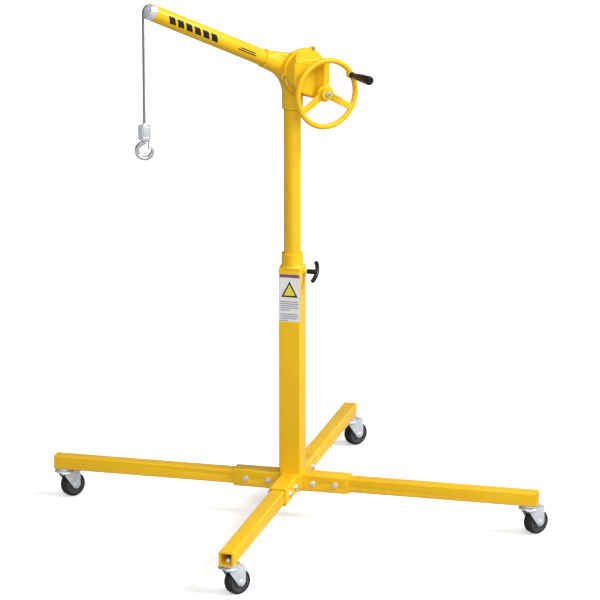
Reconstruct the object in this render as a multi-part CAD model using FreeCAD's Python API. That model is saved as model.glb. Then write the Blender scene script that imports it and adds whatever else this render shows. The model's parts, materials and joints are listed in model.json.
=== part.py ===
import FreeCAD, Part
import math
import os

# Portable mast-and-boom hoist crane on a four-leg caster base. Millimetres.
# Frame: +Z up, origin on the floor under the mast. The boom points to -X, and the
# handwheel is on the -Y side. The four legs lie on the diagonals between X and Y.

# ---------------------------------------------------------------- driving sizes
# base: column, legs and their sockets
column_side = 80.0
column_wall = 4.8
column_corner_radius = 7.0
column_top_z = 914.0
cap_thickness = 6.0
leg_side = 50.8
leg_wall = 6.35
leg_corner_radius = 6.0
leg_reach = 885.0
socket_side = 63.5
socket_corner_radius = 7.0
socket_reach = 210.0
leg_in_socket_gap = 0.75
leg_bolt_reaches = (82.0, 163.0)
leg_column_gap = 1.5
leg_angles = {"front": -135.0, "right": -45.0, "back": 45.0, "left": 135.0}
bolt_head_sides = {"front": 1, "right": -1, "back": -1, "left": 1}

# fasteners
bolt_radius = 6.35
bolt_head_across_flats = 19.05
bolt_head_height = 8.0
nut_height = 10.5
bolt_hole_gap = 0.35
thread_fit_gap = 0.06

# casters
wheel_radius = 44.45
wheel_width = 41.0
tyre_thickness = 11.0
wheel_bore_gap = 0.06
caster_inset = 32.0
caster_trail = 35.0
caster_trail_angle = 6.0
axle_radius = 5.0
axle_head_radius = 8.0
fork_sheet = 3.0
fork_side_gap = 2.5
fork_crown_radius = 36.0
fork_crown_gap = 13.6
fork_crown_depth = 8.0
fork_tip_radius = 13.0
fork_back_reach = 18.0
fork_front_reach = 16.0
fork_arm_round = 2.0
hub_wall = 6.0
hub_overhang = 1.5
core_inset = 2.0
core_dish_depth = 6.0
core_rim = 5.0
thread_end = 3.0
raceway_radius = 27.0
raceway_gap = 0.3
raceway_height = 8.5
raceway_lip = 3.0
raceway_taper = 6.0

# mast
post_radius = 30.15
post_wall = 5.0
post_foot_z = 662.0
post_running_gap = 0.06
sleeve_wall = 7.9
sleeve_top_z = 969.0
guide_height = 40.0
guide_side_gap = 0.4
seat_thickness = 8.0
drain_radius = 8.0
post_seat_gap = 0.2
neck_wall = 6.35
neck_foot_z = 1479.0
neck_chamfer = 4.2
post_in_neck = 56.0

# clamp screw in the column's right-hand face
clamp_z = 903.0
clamp_screw_radius = 6.0
clamp_pad_radius = 8.0
clamp_pad_thickness = 2.8
clamp_pad_gap = 0.4
clamp_boss_across_flats = 21.0
clamp_boss_thickness = 8.0
tee_hub_radius = 9.0
tee_hub_start = 14.0
tee_hub_length = 32.0
tee_bar_half_length = 36.0
tee_bar_radius = 7.8
tee_bar_bow = 9.0
tee_bar_tilt = -44.0

# boom
boom_rise = 24.5
boom_axis_z = 1617.0
boom_radius = 28.6
boom_wall = 3.0
boom_root_gap = 10.037
boom_length = 533.0
socket_mouth = 130.0
boom_socket_wall = 4.0
elbow_radius = 136.0

# boom tip and sheave
tip_length = 25.0
tip_spigot_length = 34.0
tip_spigot_gap = 0.1
tip_slot_width = 16.0
tip_front_radius = 24.0
sheave_back_from_tip = 12.0
rope_top_reach = 25.75
sheave_pitch_radius = 24.0
sheave_gap_in_boom = 0.5
sheave_width = 14.0
sheave_pin_radius = 5.0
pin_seat_depth = 3.0
pin_head_height = 5.0
sheave_bore_gap = 0.06
sheave_holes = 6
sheave_hole_radius = 3.0
sheave_hole_circle = 12.0
pin_head_step = 3.0
pin_clip_step = 2.0
pin_clip_thickness = 2.0
rope_way_gap = 1.5

# rope and hook
rope_radius = 4.75
rope_groove_gap = 0.2
hook_barrel_top_z = 1483.0
hook_barrel_height = 49.0
hook_barrel_radius = 21.5
rope_cone_height = 8.0
hook_shank_radius = 7.0
hook_shank_gap = 0.06
hook_shank_length = 22.0
hook_bowl_radius = 26.0
hook_stock_radius = 8.5
hook_tip_radius = 4.4
hook_lean = 60.0
hook_neck_bend = 12.0
hook_taper_start = 320.0
hook_end = 385.0
hook_turn = -30.0
latch_thickness = 4.5
latch_width = 9.0
latch_pivot_reach = 14.0
latch_pivot_drop = 4.5
latch_foot_reach = 14.0
latch_foot_rise = 3.0

# drum, gears and their housing
drum_x = 20.0
drum_z = 1617.0
gear_module = 2.7
tooth_addendum_share = 0.92
gear_teeth = 48
pinion_teeth = 12
pressure_angle = 25.0
tooth_backlash = 0.3
gear_width = 14.0
gear_holes = 6
gear_hole_radius = 11.0
gear_hole_circle = 42.0
pinion_width = 17.0
pinion_direction = 302.0
drum_barrel_radius = 20.0
drum_flange_radius = 45.0
drum_flange_thickness = 3.5
drum_axle_radius = 8.0
drum_seat_radius = 26.0
drum_spigot_wall = 5.0
running_gap = 0.05
side_gap = 1.0
housing_back_y = 36.0
housing_back_wall = 6.0
housing_wall = 6.0
bell_back_y = -20.0
bell_back_wall = 4.5
bell_wall = 6.0
parting_y = -46.0
flange_thickness = 5.0
flange_lip = 7.0
cover_wall = 5.0
cover_depth = 44.0
cover_inset_share = 1.15
# the corners of the cover's raised block, in gear modules from the drum's axis
cover_face_corners = [
    (-24.44, 17.41), (-24.44, -19.26), (-13.33, -25.93), (7.41, -37.04),
    (34.07, -41.48), (28.89, -11.11), (20.00, 11.11), (11.85, 17.41),
]
cover_foot_corners = [
    (-28.89, 28.15), (-28.15, -22.22), (-19.26, -31.85), (7.41, -43.70),
    (40.74, -48.15), (41.48, -11.11), (33.33, 18.52), (17.78, 28.15),
]
ear_radius = 9.0
ear_angles = (188.0, 66.0)
cover_screw_radius = 3.0
cover_screw_head_radius = 5.5
cover_screw_head_height = 4.0
cover_screw_length = 22.0

# pinion shaft, brake and handwheel
shaft_radius = 9.0
bush_wall = 3.0
ratchet_radius = 18.5
ratchet_teeth = 10
ratchet_thickness = 7.0
ratchet_step = 3.0
brake_disc_thickness = 4.0
ratchet_set_back = 12.0
pawl_pin_radius = 3.0
pawl_reach = 36.0
pawl_turn = 14.0
pawl_thickness = 5.0
wheel_rim_radius = 115.0
wheel_rim_section = 10.0
wheel_plane_y = -125.0
wheel_hub_radius = 30.0
wheel_hub_back_y = -103.0
hub_stud_radius = 5.0
wheel_hub_shoulder_y = -121.0
wheel_boss_radius = 24.0
wheel_boss_front_y = -136.0
spoke_width_hub = 28.0
spoke_width_rim = 22.0
spoke_thickness = 12.0
spoke_root_depth = 5.0
spoke_angles = (90.0, 210.0, 330.0)
hub_nut_across_flats = 16.0
hub_nut_height = 8.0
grip_angle = 31.0
grip_inset = 5.0
grip_spindle_radius = 5.0
grip_boss_radius = 12.0
grip_boss_length = 12.0
grip_length = 122.0
grip_inner_radius = 8.5
grip_outer_radius = 15.0
grip_gap = 0.5

# ---------------------------------------------------------------- worked-out places
UP = FreeCAD.Vector(0, 0, 1)
rise = math.radians(boom_rise)
boom_dir = FreeCAD.Vector(-math.cos(rise), 0, math.sin(rise))
boom_up = FreeCAD.Vector(math.sin(rise), 0, math.cos(rise))
boom_origin = FreeCAD.Vector(0, 0, boom_axis_z)
gear_radius = gear_module * gear_teeth / 2
pinion_radius = gear_module * pinion_teeth / 2
centre_distance = gear_radius + pinion_radius
pinion_x = drum_x + centre_distance * math.cos(math.radians(pinion_direction))
pinion_z = drum_z + centre_distance * math.sin(math.radians(pinion_direction))
fork_crown_top_z = 2 * wheel_radius + fork_crown_gap
leg_floor_z = fork_crown_top_z + raceway_height
leg_axis_z = leg_floor_z + leg_side / 2
neck_radius = post_radius + neck_wall
grip_orbit = wheel_rim_radius - grip_inset
drum_gear_tip_radius = gear_radius + gear_module * tooth_addendum_share
boom_root = (drum_gear_tip_radius - drum_x) / math.cos(rise) + boom_root_gap
boom_end = boom_root + boom_length
sheave_drop = sheave_pitch_radius + rope_radius - rope_top_reach
tip_end = boom_end + tip_length
bell_radius = gear_radius + gear_module + side_gap * 3 + bell_wall
pinion_case_radius = pinion_radius + gear_module + side_gap * 2 + bell_wall
flange_radius = bell_radius + flange_lip
drum_case_radius = drum_flange_radius + side_gap * 4 + housing_wall
cover_face_y = parting_y - flange_thickness - cover_depth
first_wrap_radius = drum_barrel_radius + rope_radius + running_gap
wrap_step = 1.8 * rope_radius
wrap_pitch = 2 * rope_radius + 2 * running_gap
leave_radius = first_wrap_radius + wrap_step
gear_back_y = bell_back_y - bell_back_wall - side_gap * 2
drum_front_y = bell_back_y - bell_back_wall + side_gap / 2
drum_back_y = housing_back_y - housing_back_wall - side_gap * 2
ear_circle = flange_radius + 1.0
ratchet_y = parting_y - ratchet_set_back
pawl_direction = math.radians(pinion_direction + 180 + pawl_turn)
pawl_pivot_x = pinion_x + pawl_reach * math.cos(pawl_direction)
pawl_pivot_z = pinion_z + pawl_reach * math.sin(pawl_direction)


def on_boom(along, offset=0.0, side=0.0):
    """A point at a distance along the boom's axis, offset upwards and along Y."""
    point = boom_origin + boom_dir * along + boom_up * offset
    return point + FreeCAD.Vector(0, side, 0)


def hook_bowl_height():
    """The bowl's centre, where the neck's bend, a straight stretch and the bowl join."""
    lean = math.radians(hook_lean)
    straight = (hook_bowl_radius * math.cos(lean) - hook_neck_bend * (1 - math.cos(lean))) / math.sin(lean)
    drop = (hook_bowl_radius + hook_neck_bend) * math.sin(lean) + straight * math.cos(lean)
    return hook_foot_z - drop


def widest_sheave():
    """The flange radius that leaves the sheave its gap inside the end of the boom's bore."""
    bore_chord = math.sqrt((boom_radius - boom_wall) ** 2 - (sheave_width / 2) ** 2)
    along = tip_length - sheave_back_from_tip
    return math.hypot(bore_chord - sheave_gap_in_boom - sheave_drop, along)


sheave_flange_radius = widest_sheave()
sheave_along = tip_end - sheave_back_from_tip
sheave_centre = on_boom(sheave_along, -sheave_drop)
rope_x = sheave_centre.x - sheave_pitch_radius
hook_foot_z = hook_barrel_top_z - hook_barrel_height
hook_bowl_z = hook_bowl_height()


# ---------------------------------------------------------------- small makers
def V(x, y, z):
    return FreeCAD.Vector(x, y, z)


def turned_z(shape, angle, at=(0, 0, 0)):
    """A copy turned about a vertical line."""
    copy = shape.copy()
    copy.rotate(V(*at), UP, angle)
    return copy


def moved(shape, x=0.0, y=0.0, z=0.0):
    copy = shape.copy()
    copy.translate(V(x, y, z))
    return copy


def along_y(radius, y_from, y_to, x, z):
    """A cylinder along Y between two planes."""
    low = min(y_from, y_to)
    return Part.makeCylinder(radius, abs(y_to - y_from), V(x, low, z), V(0, 1, 0))


def joined(shapes):
    """One solid from overlapping or touching shapes."""
    result = shapes[0].fuse(list(shapes[1:]))
    return result.removeSplitter()


def rounded_square(side, radius, x_from, x_to, y=0.0, z=0.0):
    """A bar along X with a rounded square section."""
    half = side / 2
    bar = Part.makeBox(x_to - x_from, side, side, V(x_from, y - half, z - half))
    edges = [e for e in bar.Edges if abs(e.tangentAt(e.FirstParameter).x) > 0.99]
    return bar.makeFillet(radius, edges)


def square_tube(side, wall, radius, x_from, x_to, y=0.0, z=0.0, inner=None):
    """A tube along X with a rounded square section."""
    bore = inner if inner else side - 2 * wall
    bore_radius = max(radius - (side - bore) / 2, 1.0)
    outer = rounded_square(side, radius, x_from, x_to, y, z)
    hole = rounded_square(bore, bore_radius, x_from - 1, x_to + 1, y, z)
    return outer.cut(hole)


def hex_prism(across_flats, height, base, direction):
    """A hexagonal head or nut with its top corners taken off."""
    corner = across_flats / math.sqrt(3)
    points = []
    for i in range(7):
        turn = math.radians(60 * i)
        points.append(V(corner * math.cos(turn), corner * math.sin(turn), 0))
    prism = Part.Face(Part.makePolygon(points)).extrude(V(0, 0, height))
    dome = Part.makeCone(corner + height * 0.4, across_flats / 2, height * 1.35, V(0, 0, -height * 0.35))
    prism = prism.common(dome)
    turn = FreeCAD.Rotation(UP, direction)
    prism.Placement = FreeCAD.Placement(base, turn)
    return prism


def hex_bolt(across_flats, radius, length, under_head, direction, head=bolt_head_height):
    """A bolt: its head stands against direction, and its shank runs along it."""
    shank = Part.makeCylinder(radius, length, under_head, direction)
    back = direction * -1
    return joined([hex_prism(across_flats, head, under_head, back), shank])


def hex_nut(across_flats, bore, height, base, direction):
    hole = Part.makeCylinder(bore, height + 2, base - direction, direction)
    return hex_prism(across_flats, height, base, direction).cut(hole)


def outline_prism(points, y_from, y_to):
    """A plate in the XZ plane, between two Y planes, from its corner points."""
    corners = [V(x, y_from, z) for x, z in points]
    corners.append(corners[0])
    return Part.Face(Part.makePolygon(corners)).extrude(V(0, y_to - y_from, 0))


def two_circle_prism(x1, z1, r1, x2, z2, r2, y_from, y_to):
    """A plate round two circles and the two lines that touch both."""
    distance = math.hypot(x2 - x1, z2 - z1)
    heading = math.atan2(z2 - z1, x2 - x1)
    spread = math.acos((r1 - r2) / distance)
    corners = []
    for x, z, r, sign in ((x1, z1, r1, 1), (x1, z1, r1, -1), (x2, z2, r2, -1), (x2, z2, r2, 1)):
        turn = heading + sign * spread
        corners.append((x + r * math.cos(turn), z + r * math.sin(turn)))
    middle = outline_prism(corners, y_from, y_to)
    ends = [along_y(r1, y_from, y_to, x1, z1), along_y(r2, y_from, y_to, x2, z2)]
    return joined([middle] + ends)


def fillet_where(shape, radius, test):
    """Rounds the edges that pass a test on their centre point and the edge itself."""
    edges = [e for e in shape.Edges if test(e.CenterOfMass, e)]
    return shape.makeFillet(radius, edges)


def gear_prism(teeth, module, width, y_from, x, z, turn):
    """An involute spur gear blank with its axis along Y. turn is a tooth's direction."""
    pressure = math.radians(pressure_angle)
    pitch = module * teeth / 2
    base = pitch * math.cos(pressure)
    tip = pitch + module * tooth_addendum_share
    root = pitch - module * 1.25
    involute_pitch = math.tan(pressure) - pressure
    half_tooth = math.pi / (2 * teeth) - tooth_backlash / (2 * pitch)
    flank_start = max(base, root)
    steps = 4
    points = []
    for tooth in range(teeth):
        centre = turn + 2 * math.pi * tooth / teeth
        right = []
        for i in range(steps + 1):
            radius = flank_start + (tip - flank_start) * i / steps
            angle = math.acos(min(1.0, base / radius))
            lean = half_tooth + involute_pitch - (math.tan(angle) - angle)
            right.append((radius, lean))
        flank = [(root, right[0][1])] + right if root < flank_start else right
        for radius, lean in flank:
            points.append((radius, centre - lean))
        for radius, lean in reversed(flank):
            points.append((radius, centre + lean))
    corners = [(x + r * math.cos(a), z + r * math.sin(a)) for r, a in points]
    return outline_prism(corners, y_from, y_from + width)


parts = {}


# ---------------------------------------------------------------- base frame
def make_column():
    half = column_side / 2
    bottom = leg_axis_z - socket_side / 2
    tube = square_tube(column_side, column_wall, column_corner_radius, bottom, column_top_z)
    tube.rotate(V(0, 0, 0), V(0, 1, 0), -90)
    tube = turned_z(tube, leg_angles["right"])
    outward = leg_direction("right")
    clamp_hole = Part.makeCylinder(clamp_screw_radius + side_gap, column_wall * 3,
                                   outward * (half - column_wall * 2) + UP * clamp_z, outward)
    return tube.cut(clamp_hole)


def leg_direction(name):
    turn = math.radians(leg_angles[name])
    return V(math.cos(turn), math.sin(turn), 0)


def make_cap():
    half = column_side / 2
    plate = Part.makeBox(column_side, column_side, cap_thickness, V(-half, -half, column_top_z))
    upright = [e for e in plate.Edges if abs(e.tangentAt(e.FirstParameter).z) > 0.99]
    plate = plate.makeFillet(column_corner_radius, upright)
    plate = fillet_where(plate, 2.0, lambda c, e: c.z > column_top_z + cap_thickness - 0.01)
    hole = Part.makeCylinder(post_radius + post_running_gap, cap_thickness + 2, V(0, 0, column_top_z - 1))
    return turned_z(plate.cut(hole), leg_angles["right"])


def make_sleeve():
    foot = column_top_z + cap_thickness
    bore = post_radius + post_running_gap
    outer = Part.makeCylinder(bore + sleeve_wall, sleeve_top_z - foot, V(0, 0, foot))
    weld = Part.makeCone(bore + sleeve_wall + 5, bore + sleeve_wall, 6, V(0, 0, foot))
    outer = joined([outer, weld])
    outer = fillet_where(outer, 1.5, lambda c, e: c.z > sleeve_top_z - 0.01)
    return outer.cut(Part.makeCylinder(bore, sleeve_top_z, V(0, 0, foot - 1)))


def make_post_cup():
    """The block welded inside the column: a bore that guides the post, and a floor that carries it."""
    side = column_side - 2 * column_wall - 2 * guide_side_gap
    foot = post_foot_z - seat_thickness
    block = rounded_square(side, 3.0, foot, post_foot_z + guide_height)
    block.rotate(V(0, 0, 0), V(0, 1, 0), -90)
    bore = Part.makeCylinder(post_radius + post_running_gap, guide_height + 1, V(0, 0, post_foot_z))
    drain = Part.makeCylinder(drain_radius, seat_thickness + 2, V(0, 0, foot - 1))
    return turned_z(block.cut(bore).cut(drain), leg_angles["right"])


def leg_hole(reach, length):
    start = V(reach, -length / 2, leg_axis_z)
    return Part.makeCylinder(bolt_radius + bolt_hole_gap, length, start, V(0, 1, 0))


def make_socket(angle):
    inner = leg_side + 2 * leg_in_socket_gap
    start = column_side / 2
    tube = square_tube(socket_side, 0, socket_corner_radius, start, socket_reach, 0, leg_axis_z, inner)
    for reach in leg_bolt_reaches:
        tube = tube.cut(leg_hole(reach, socket_side * 2))
    return turned_z(tube, angle)


def make_leg(angle):
    start = column_side / 2 + leg_column_gap
    tube = square_tube(leg_side, leg_wall, leg_corner_radius, start, leg_reach, 0, leg_axis_z)
    for reach in leg_bolt_reaches:
        tube = tube.cut(leg_hole(reach, socket_side * 2))
    stem_hole = Part.makeCylinder(bolt_radius + bolt_hole_gap, leg_wall * 3,
                                  V(leg_reach - caster_inset, 0, leg_floor_z - leg_wall))
    return turned_z(tube.cut(stem_hole), angle)


def make_leg_bolts():
    bolts = []
    nuts = []
    length = socket_side + nut_height + thread_end
    for name, angle in leg_angles.items():
        side = bolt_head_sides[name]
        for reach in leg_bolt_reaches:
            head = V(reach, side * socket_side / 2, leg_axis_z)
            direction = V(0, -side, 0)
            bolt = hex_bolt(bolt_head_across_flats, bolt_radius, length, head, direction)
            nut_base = V(reach, -side * socket_side / 2, leg_axis_z)
            nut = hex_nut(bolt_head_across_flats, bolt_radius, nut_height, nut_base, direction)
            bolts.append(turned_z(bolt, angle))
            nuts.append(turned_z(nut, angle))
    return Part.makeCompound(bolts), Part.makeCompound(nuts)


# ---------------------------------------------------------------- casters
def caster_place(name):
    outward = leg_direction(name)
    return outward * (leg_reach - caster_inset)


def make_caster_stem(name):
    at = caster_place(name)
    head_under = fork_crown_top_z - fork_sheet - 1.0
    length = leg_floor_z + leg_wall + nut_height + thread_end - head_under
    bolt = hex_bolt(bolt_head_across_flats, bolt_radius, length, at + UP * head_under, UP, 6.0)
    nut = hex_nut(bolt_head_across_flats, bolt_radius, nut_height, at + UP * (leg_floor_z + leg_wall), UP)
    lip_foot = leg_floor_z - raceway_lip
    low = fork_crown_top_z + raceway_gap
    raceway = Part.makeCylinder(raceway_radius, raceway_lip, at + UP * lip_foot)
    skirt = Part.makeCone(raceway_radius - raceway_taper, raceway_radius, lip_foot - low, at + UP * low)
    raceway = joined([raceway, skirt])
    raceway = raceway.cut(Part.makeCylinder(bolt_radius, leg_floor_z, at + UP * head_under))
    return bolt, nut, raceway


def make_fork():
    """The fork with its swivel axis on the Z axis, trailing towards +X."""
    half_gap = wheel_width / 2 + fork_side_gap
    outer = half_gap + fork_sheet
    top = fork_crown_top_z
    back = caster_trail + fork_back_reach
    crown_low = top - fork_crown_depth
    profile = [(-fork_front_reach, top), (back, top), (back, wheel_radius - 1.0)]
    for turn in (-20, -50, -90, -130, -160):
        a = math.radians(turn)
        profile.append((caster_trail + (fork_tip_radius + 2) * math.cos(a),
                        wheel_radius + fork_tip_radius * math.sin(a)))
    profile.append((-fork_front_reach, crown_low - 2))
    slab = outline_prism(profile, -outer, outer)
    disc = Part.makeCylinder(fork_crown_radius, fork_crown_depth, V(0, 0, crown_low))
    disc = fillet_where(disc, 3.5, lambda c, e: c.z > top - 0.01)
    body = joined([slab, disc])
    trail_edges = [e for e in body.Edges
                   if abs(e.CenterOfMass.x - back) < 0.01 and abs(abs(e.CenterOfMass.y) - outer) < 0.01]
    body = body.makeFillet(fork_arm_round, trail_edges)
    inside_top = top - fork_sheet
    inside = Part.makeBox(200, 2 * half_gap, inside_top + 60, V(-100, -half_gap, -60))
    dish = Part.makeCylinder(fork_crown_radius - fork_sheet, fork_crown_depth,
                             V(0, 0, crown_low - fork_sheet))
    body = body.cut(inside).cut(dish)
    pin_hole = Part.makeCylinder(bolt_radius + post_running_gap, fork_crown_depth * 2, V(0, 0, crown_low - 4))
    body = body.cut(pin_hole)
    axle_hole = along_y(axle_radius, -outer - 1, outer + 1, caster_trail, wheel_radius)
    return body.cut(axle_hole)


def make_wheel():
    """Wheel core and tyre with the axle along Y at the trailing place."""
    half = wheel_width / 2
    core_radius = wheel_radius - tyre_thickness
    face = half - core_inset
    core = along_y(core_radius, -face, face, caster_trail, wheel_radius)
    hub_half = half + hub_overhang
    hub = along_y(axle_radius + hub_wall, -hub_half, hub_half, caster_trail, wheel_radius)
    for side in (-1, 1):
        bottom = side * (face - core_dish_depth)
        core = core.cut(along_y(core_radius - core_rim, side * face, bottom, caster_trail, wheel_radius))
    core = joined([core, hub])
    core = core.cut(along_y(axle_radius + wheel_bore_gap, -wheel_width, wheel_width, caster_trail, wheel_radius))
    tyre = along_y(wheel_radius, -half, half, caster_trail, wheel_radius)
    tyre = fillet_where(tyre, 5.0, lambda c, e: abs(abs(c.y) - half) < 0.01)
    tyre = tyre.cut(along_y(core_radius, -half - 1, half + 1, caster_trail, wheel_radius))
    return core, tyre


def make_axle():
    """Caster axle bolt with its nut, as two solids."""
    outer = wheel_width / 2 + fork_side_gap + fork_sheet
    head = V(caster_trail, -outer, wheel_radius)
    bolt = hex_bolt(2 * axle_head_radius, axle_radius, 2 * outer + 7, head, V(0, 1, 0), 5.0)
    nut = hex_nut(2 * axle_head_radius, axle_radius, 6.0, V(caster_trail, outer, wheel_radius), V(0, 1, 0))
    return Part.makeCompound([bolt, nut])


# ---------------------------------------------------------------- clamp
def clamp_point(reach):
    return leg_direction("right") * reach + UP * clamp_z


def make_clamp():
    outward = leg_direction("right")
    face = column_side / 2
    pad_start = post_radius + clamp_pad_gap
    pad = Part.makeCylinder(clamp_pad_radius, clamp_pad_thickness, clamp_point(pad_start), outward)
    boss = hex_prism(clamp_boss_across_flats, clamp_boss_thickness, clamp_point(face), outward)
    thread = Part.makeCylinder(clamp_screw_radius + thread_fit_gap, clamp_boss_thickness * 3,
                               clamp_point(face - clamp_boss_thickness), outward)
    boss = boss.cut(thread)
    screw_start = pad_start + clamp_pad_thickness
    hub_start = face + tee_hub_start
    screw_end = hub_start + tee_hub_length - 6
    screw = Part.makeCylinder(clamp_screw_radius, screw_end - screw_start, clamp_point(screw_start), outward)
    hub_end = hub_start + tee_hub_length
    hub = Part.makeCylinder(tee_hub_radius, tee_hub_length, clamp_point(hub_start), outward)
    ends = hub_end - tee_bar_bow + 3
    bow = Part.Arc(clamp_point(ends) - UP * tee_bar_half_length, clamp_point(hub_end + 3),
                   clamp_point(ends) + UP * tee_bar_half_length)
    spine = Part.Wire([bow.toShape()])
    start = spine.Edges[0].valueAt(spine.Edges[0].FirstParameter)
    tangent = spine.Edges[0].tangentAt(spine.Edges[0].FirstParameter)
    ring = Part.Wire([Part.makeCircle(tee_bar_radius, start, tangent)])
    bar = spine.makePipeShell([ring], True, False)
    tips = [Part.makeSphere(tee_bar_radius, clamp_point(ends) + UP * tee_bar_half_length * s) for s in (-1, 1)]
    handle = joined([hub, bar] + tips)
    handle = handle.cut(screw)
    handle.rotate(clamp_point(0), outward, tee_bar_tilt)
    return pad, boss, screw, handle


# ---------------------------------------------------------------- head
def make_post():
    foot = post_foot_z + post_seat_gap
    top = neck_foot_z + post_in_neck
    outer = Part.makeCylinder(post_radius, top - foot, V(0, 0, foot))
    return outer.cut(Part.makeCylinder(post_radius - post_wall, top, V(0, 0, foot - 1)))


def case_prism(big, small, y_from, y_to):
    """The housing's outline round the gear and the pinion."""
    return two_circle_prism(drum_x, drum_z, big, pinion_x, pinion_z, small, y_from, y_to)


def ear_points(radius):
    points = []
    for angle in ear_angles:
        turn = math.radians(angle)
        points.append((drum_x + radius * math.cos(turn), drum_z + radius * math.sin(turn)))
    return points


def flange_plate(y_from, y_to):
    plate = case_prism(flange_radius, pinion_case_radius + 3, y_from, y_to)
    ears = []
    for x, z in ear_places():
        ears.append(along_y(ear_radius, y_from, y_to, x, z))
    return joined([plate] + ears)


def ear_places():
    """Two ears on the gear's circle, and one beyond the pinion."""
    places = ear_points(ear_circle)
    turn = math.radians(pinion_direction)
    reach = centre_distance + pinion_case_radius + cover_screw_head_radius
    places.append((drum_x + reach * math.cos(turn), drum_z + reach * math.sin(turn)))
    return places


def make_casting():
    mouth_radius = boom_radius + boom_socket_wall
    tangent_length = elbow_radius * math.tan(math.radians(90 - boom_rise) / 2)
    neck_top = boom_axis_z - tangent_length
    neck = Part.makeCylinder(neck_radius, neck_top - neck_foot_z, V(0, 0, neck_foot_z))
    foot_edges = [e for e in neck.Edges if e.CenterOfMass.z < neck_foot_z + 0.01]
    neck = neck.makeChamfer(neck_chamfer, foot_edges)
    start = V(0, 0, neck_top)
    end = on_boom(tangent_length)
    hub_centre = V(-elbow_radius, 0, neck_top)
    half_turn = math.radians(90 - boom_rise) / 2
    middle = hub_centre + V(elbow_radius * math.cos(half_turn), 0, elbow_radius * math.sin(half_turn))
    arc = Part.Wire([Part.Arc(start, middle, end).toShape()])
    first = Part.Wire([Part.makeCircle(neck_radius, start, UP)])
    last = Part.Wire([Part.makeCircle(mouth_radius + 2, end, boom_dir)])
    elbow = arc.makePipeShell([first, last], True, False)
    socket = Part.makeCone(mouth_radius + 2, mouth_radius, socket_mouth - tangent_length, end, boom_dir)
    drum_case = along_y(drum_case_radius, bell_back_y - 2, housing_back_y, drum_x, drum_z)
    drum_case = fillet_where(drum_case, 8.0, lambda c, e: abs(c.y - housing_back_y) < 0.01)
    top_corner = on_boom(socket_mouth - 22, mouth_radius - 1)
    web_half = 24.0
    web = outline_prism([(top_corner.x, top_corner.z), (drum_x, drum_z + drum_case_radius - 0.6),
                         (drum_x, drum_z - 20), (on_boom(60).x, on_boom(60).z)], -web_half, web_half)
    web = fillet_where(web, 10.0, lambda c, e: abs(abs(c.y) - web_half) < 0.01 and c.z > drum_z + 30)
    bell = case_prism(bell_radius, pinion_case_radius, parting_y, bell_back_y)
    bell = fillet_where(bell, 3.0, lambda c, e: abs(c.y - bell_back_y) < 0.01)
    boss = along_y(shaft_radius + bush_wall + 5, bell_back_y - 1, bell_back_y + 16, pinion_x, pinion_z)
    flange = flange_plate(parting_y, parting_y + flange_thickness)
    body = joined([neck, elbow, socket, drum_case, web, bell, boss, flange])
    return body.cut(joined(casting_hollows()))


def casting_hollows():
    post_bore = Part.makeCylinder(post_radius, post_in_neck + 20, V(0, 0, neck_foot_z - 20))
    boom_bore = Part.makeCylinder(boom_radius, socket_mouth - boom_root + 20, on_boom(boom_root), boom_dir)
    rope_way = Part.makeCylinder(boom_radius - boom_wall - 2, boom_root, on_boom(10), boom_dir)
    drum_hollow = along_y(drum_flange_radius + side_gap * 4, bell_back_y - bell_back_wall - 1,
                          housing_back_y - housing_back_wall, drum_x, drum_z)
    gear_hollow = case_prism(bell_radius - bell_wall, pinion_case_radius - bell_wall,
                             parting_y - 1, bell_back_y - bell_back_wall)
    axle_bore = along_y(drum_axle_radius, 0, housing_back_y + 1, drum_x, drum_z)
    bush_bore = along_y(shaft_radius + bush_wall, bell_back_y - 10, bell_back_y + 12, pinion_x, pinion_z)
    leave, meet, slope = rope_line()
    tunnel_length = boom_root + drum_case_radius
    rope_tunnel = Part.makeCylinder(rope_radius + rope_way_gap, tunnel_length, leave, meet - leave)
    shapes = [post_bore, boom_bore, rope_way, drum_hollow, gear_hollow, axle_bore, bush_bore, rope_tunnel]
    for x, z in ear_places():
        shapes.append(along_y(cover_screw_radius, parting_y - 1, parting_y + flange_thickness + 1, x, z))
    return shapes


def cover_frustum(inset, y_from, y_to):
    """The tapered block that trims the cover's raised part."""
    wires = []
    for corners, y in ((cover_foot_corners, y_from), (cover_face_corners, y_to)):
        ring = []
        for across, up in corners:
            reach = math.hypot(across, up) * gear_module
            scale = gear_module * (reach - inset * cover_inset_share) / reach
            ring.append(V(drum_x + across * scale, y, drum_z + up * scale))
        ring.append(ring[0])
        wires.append(Part.makePolygon(ring))
    return Part.makeLoft(wires, True, True)


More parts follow.
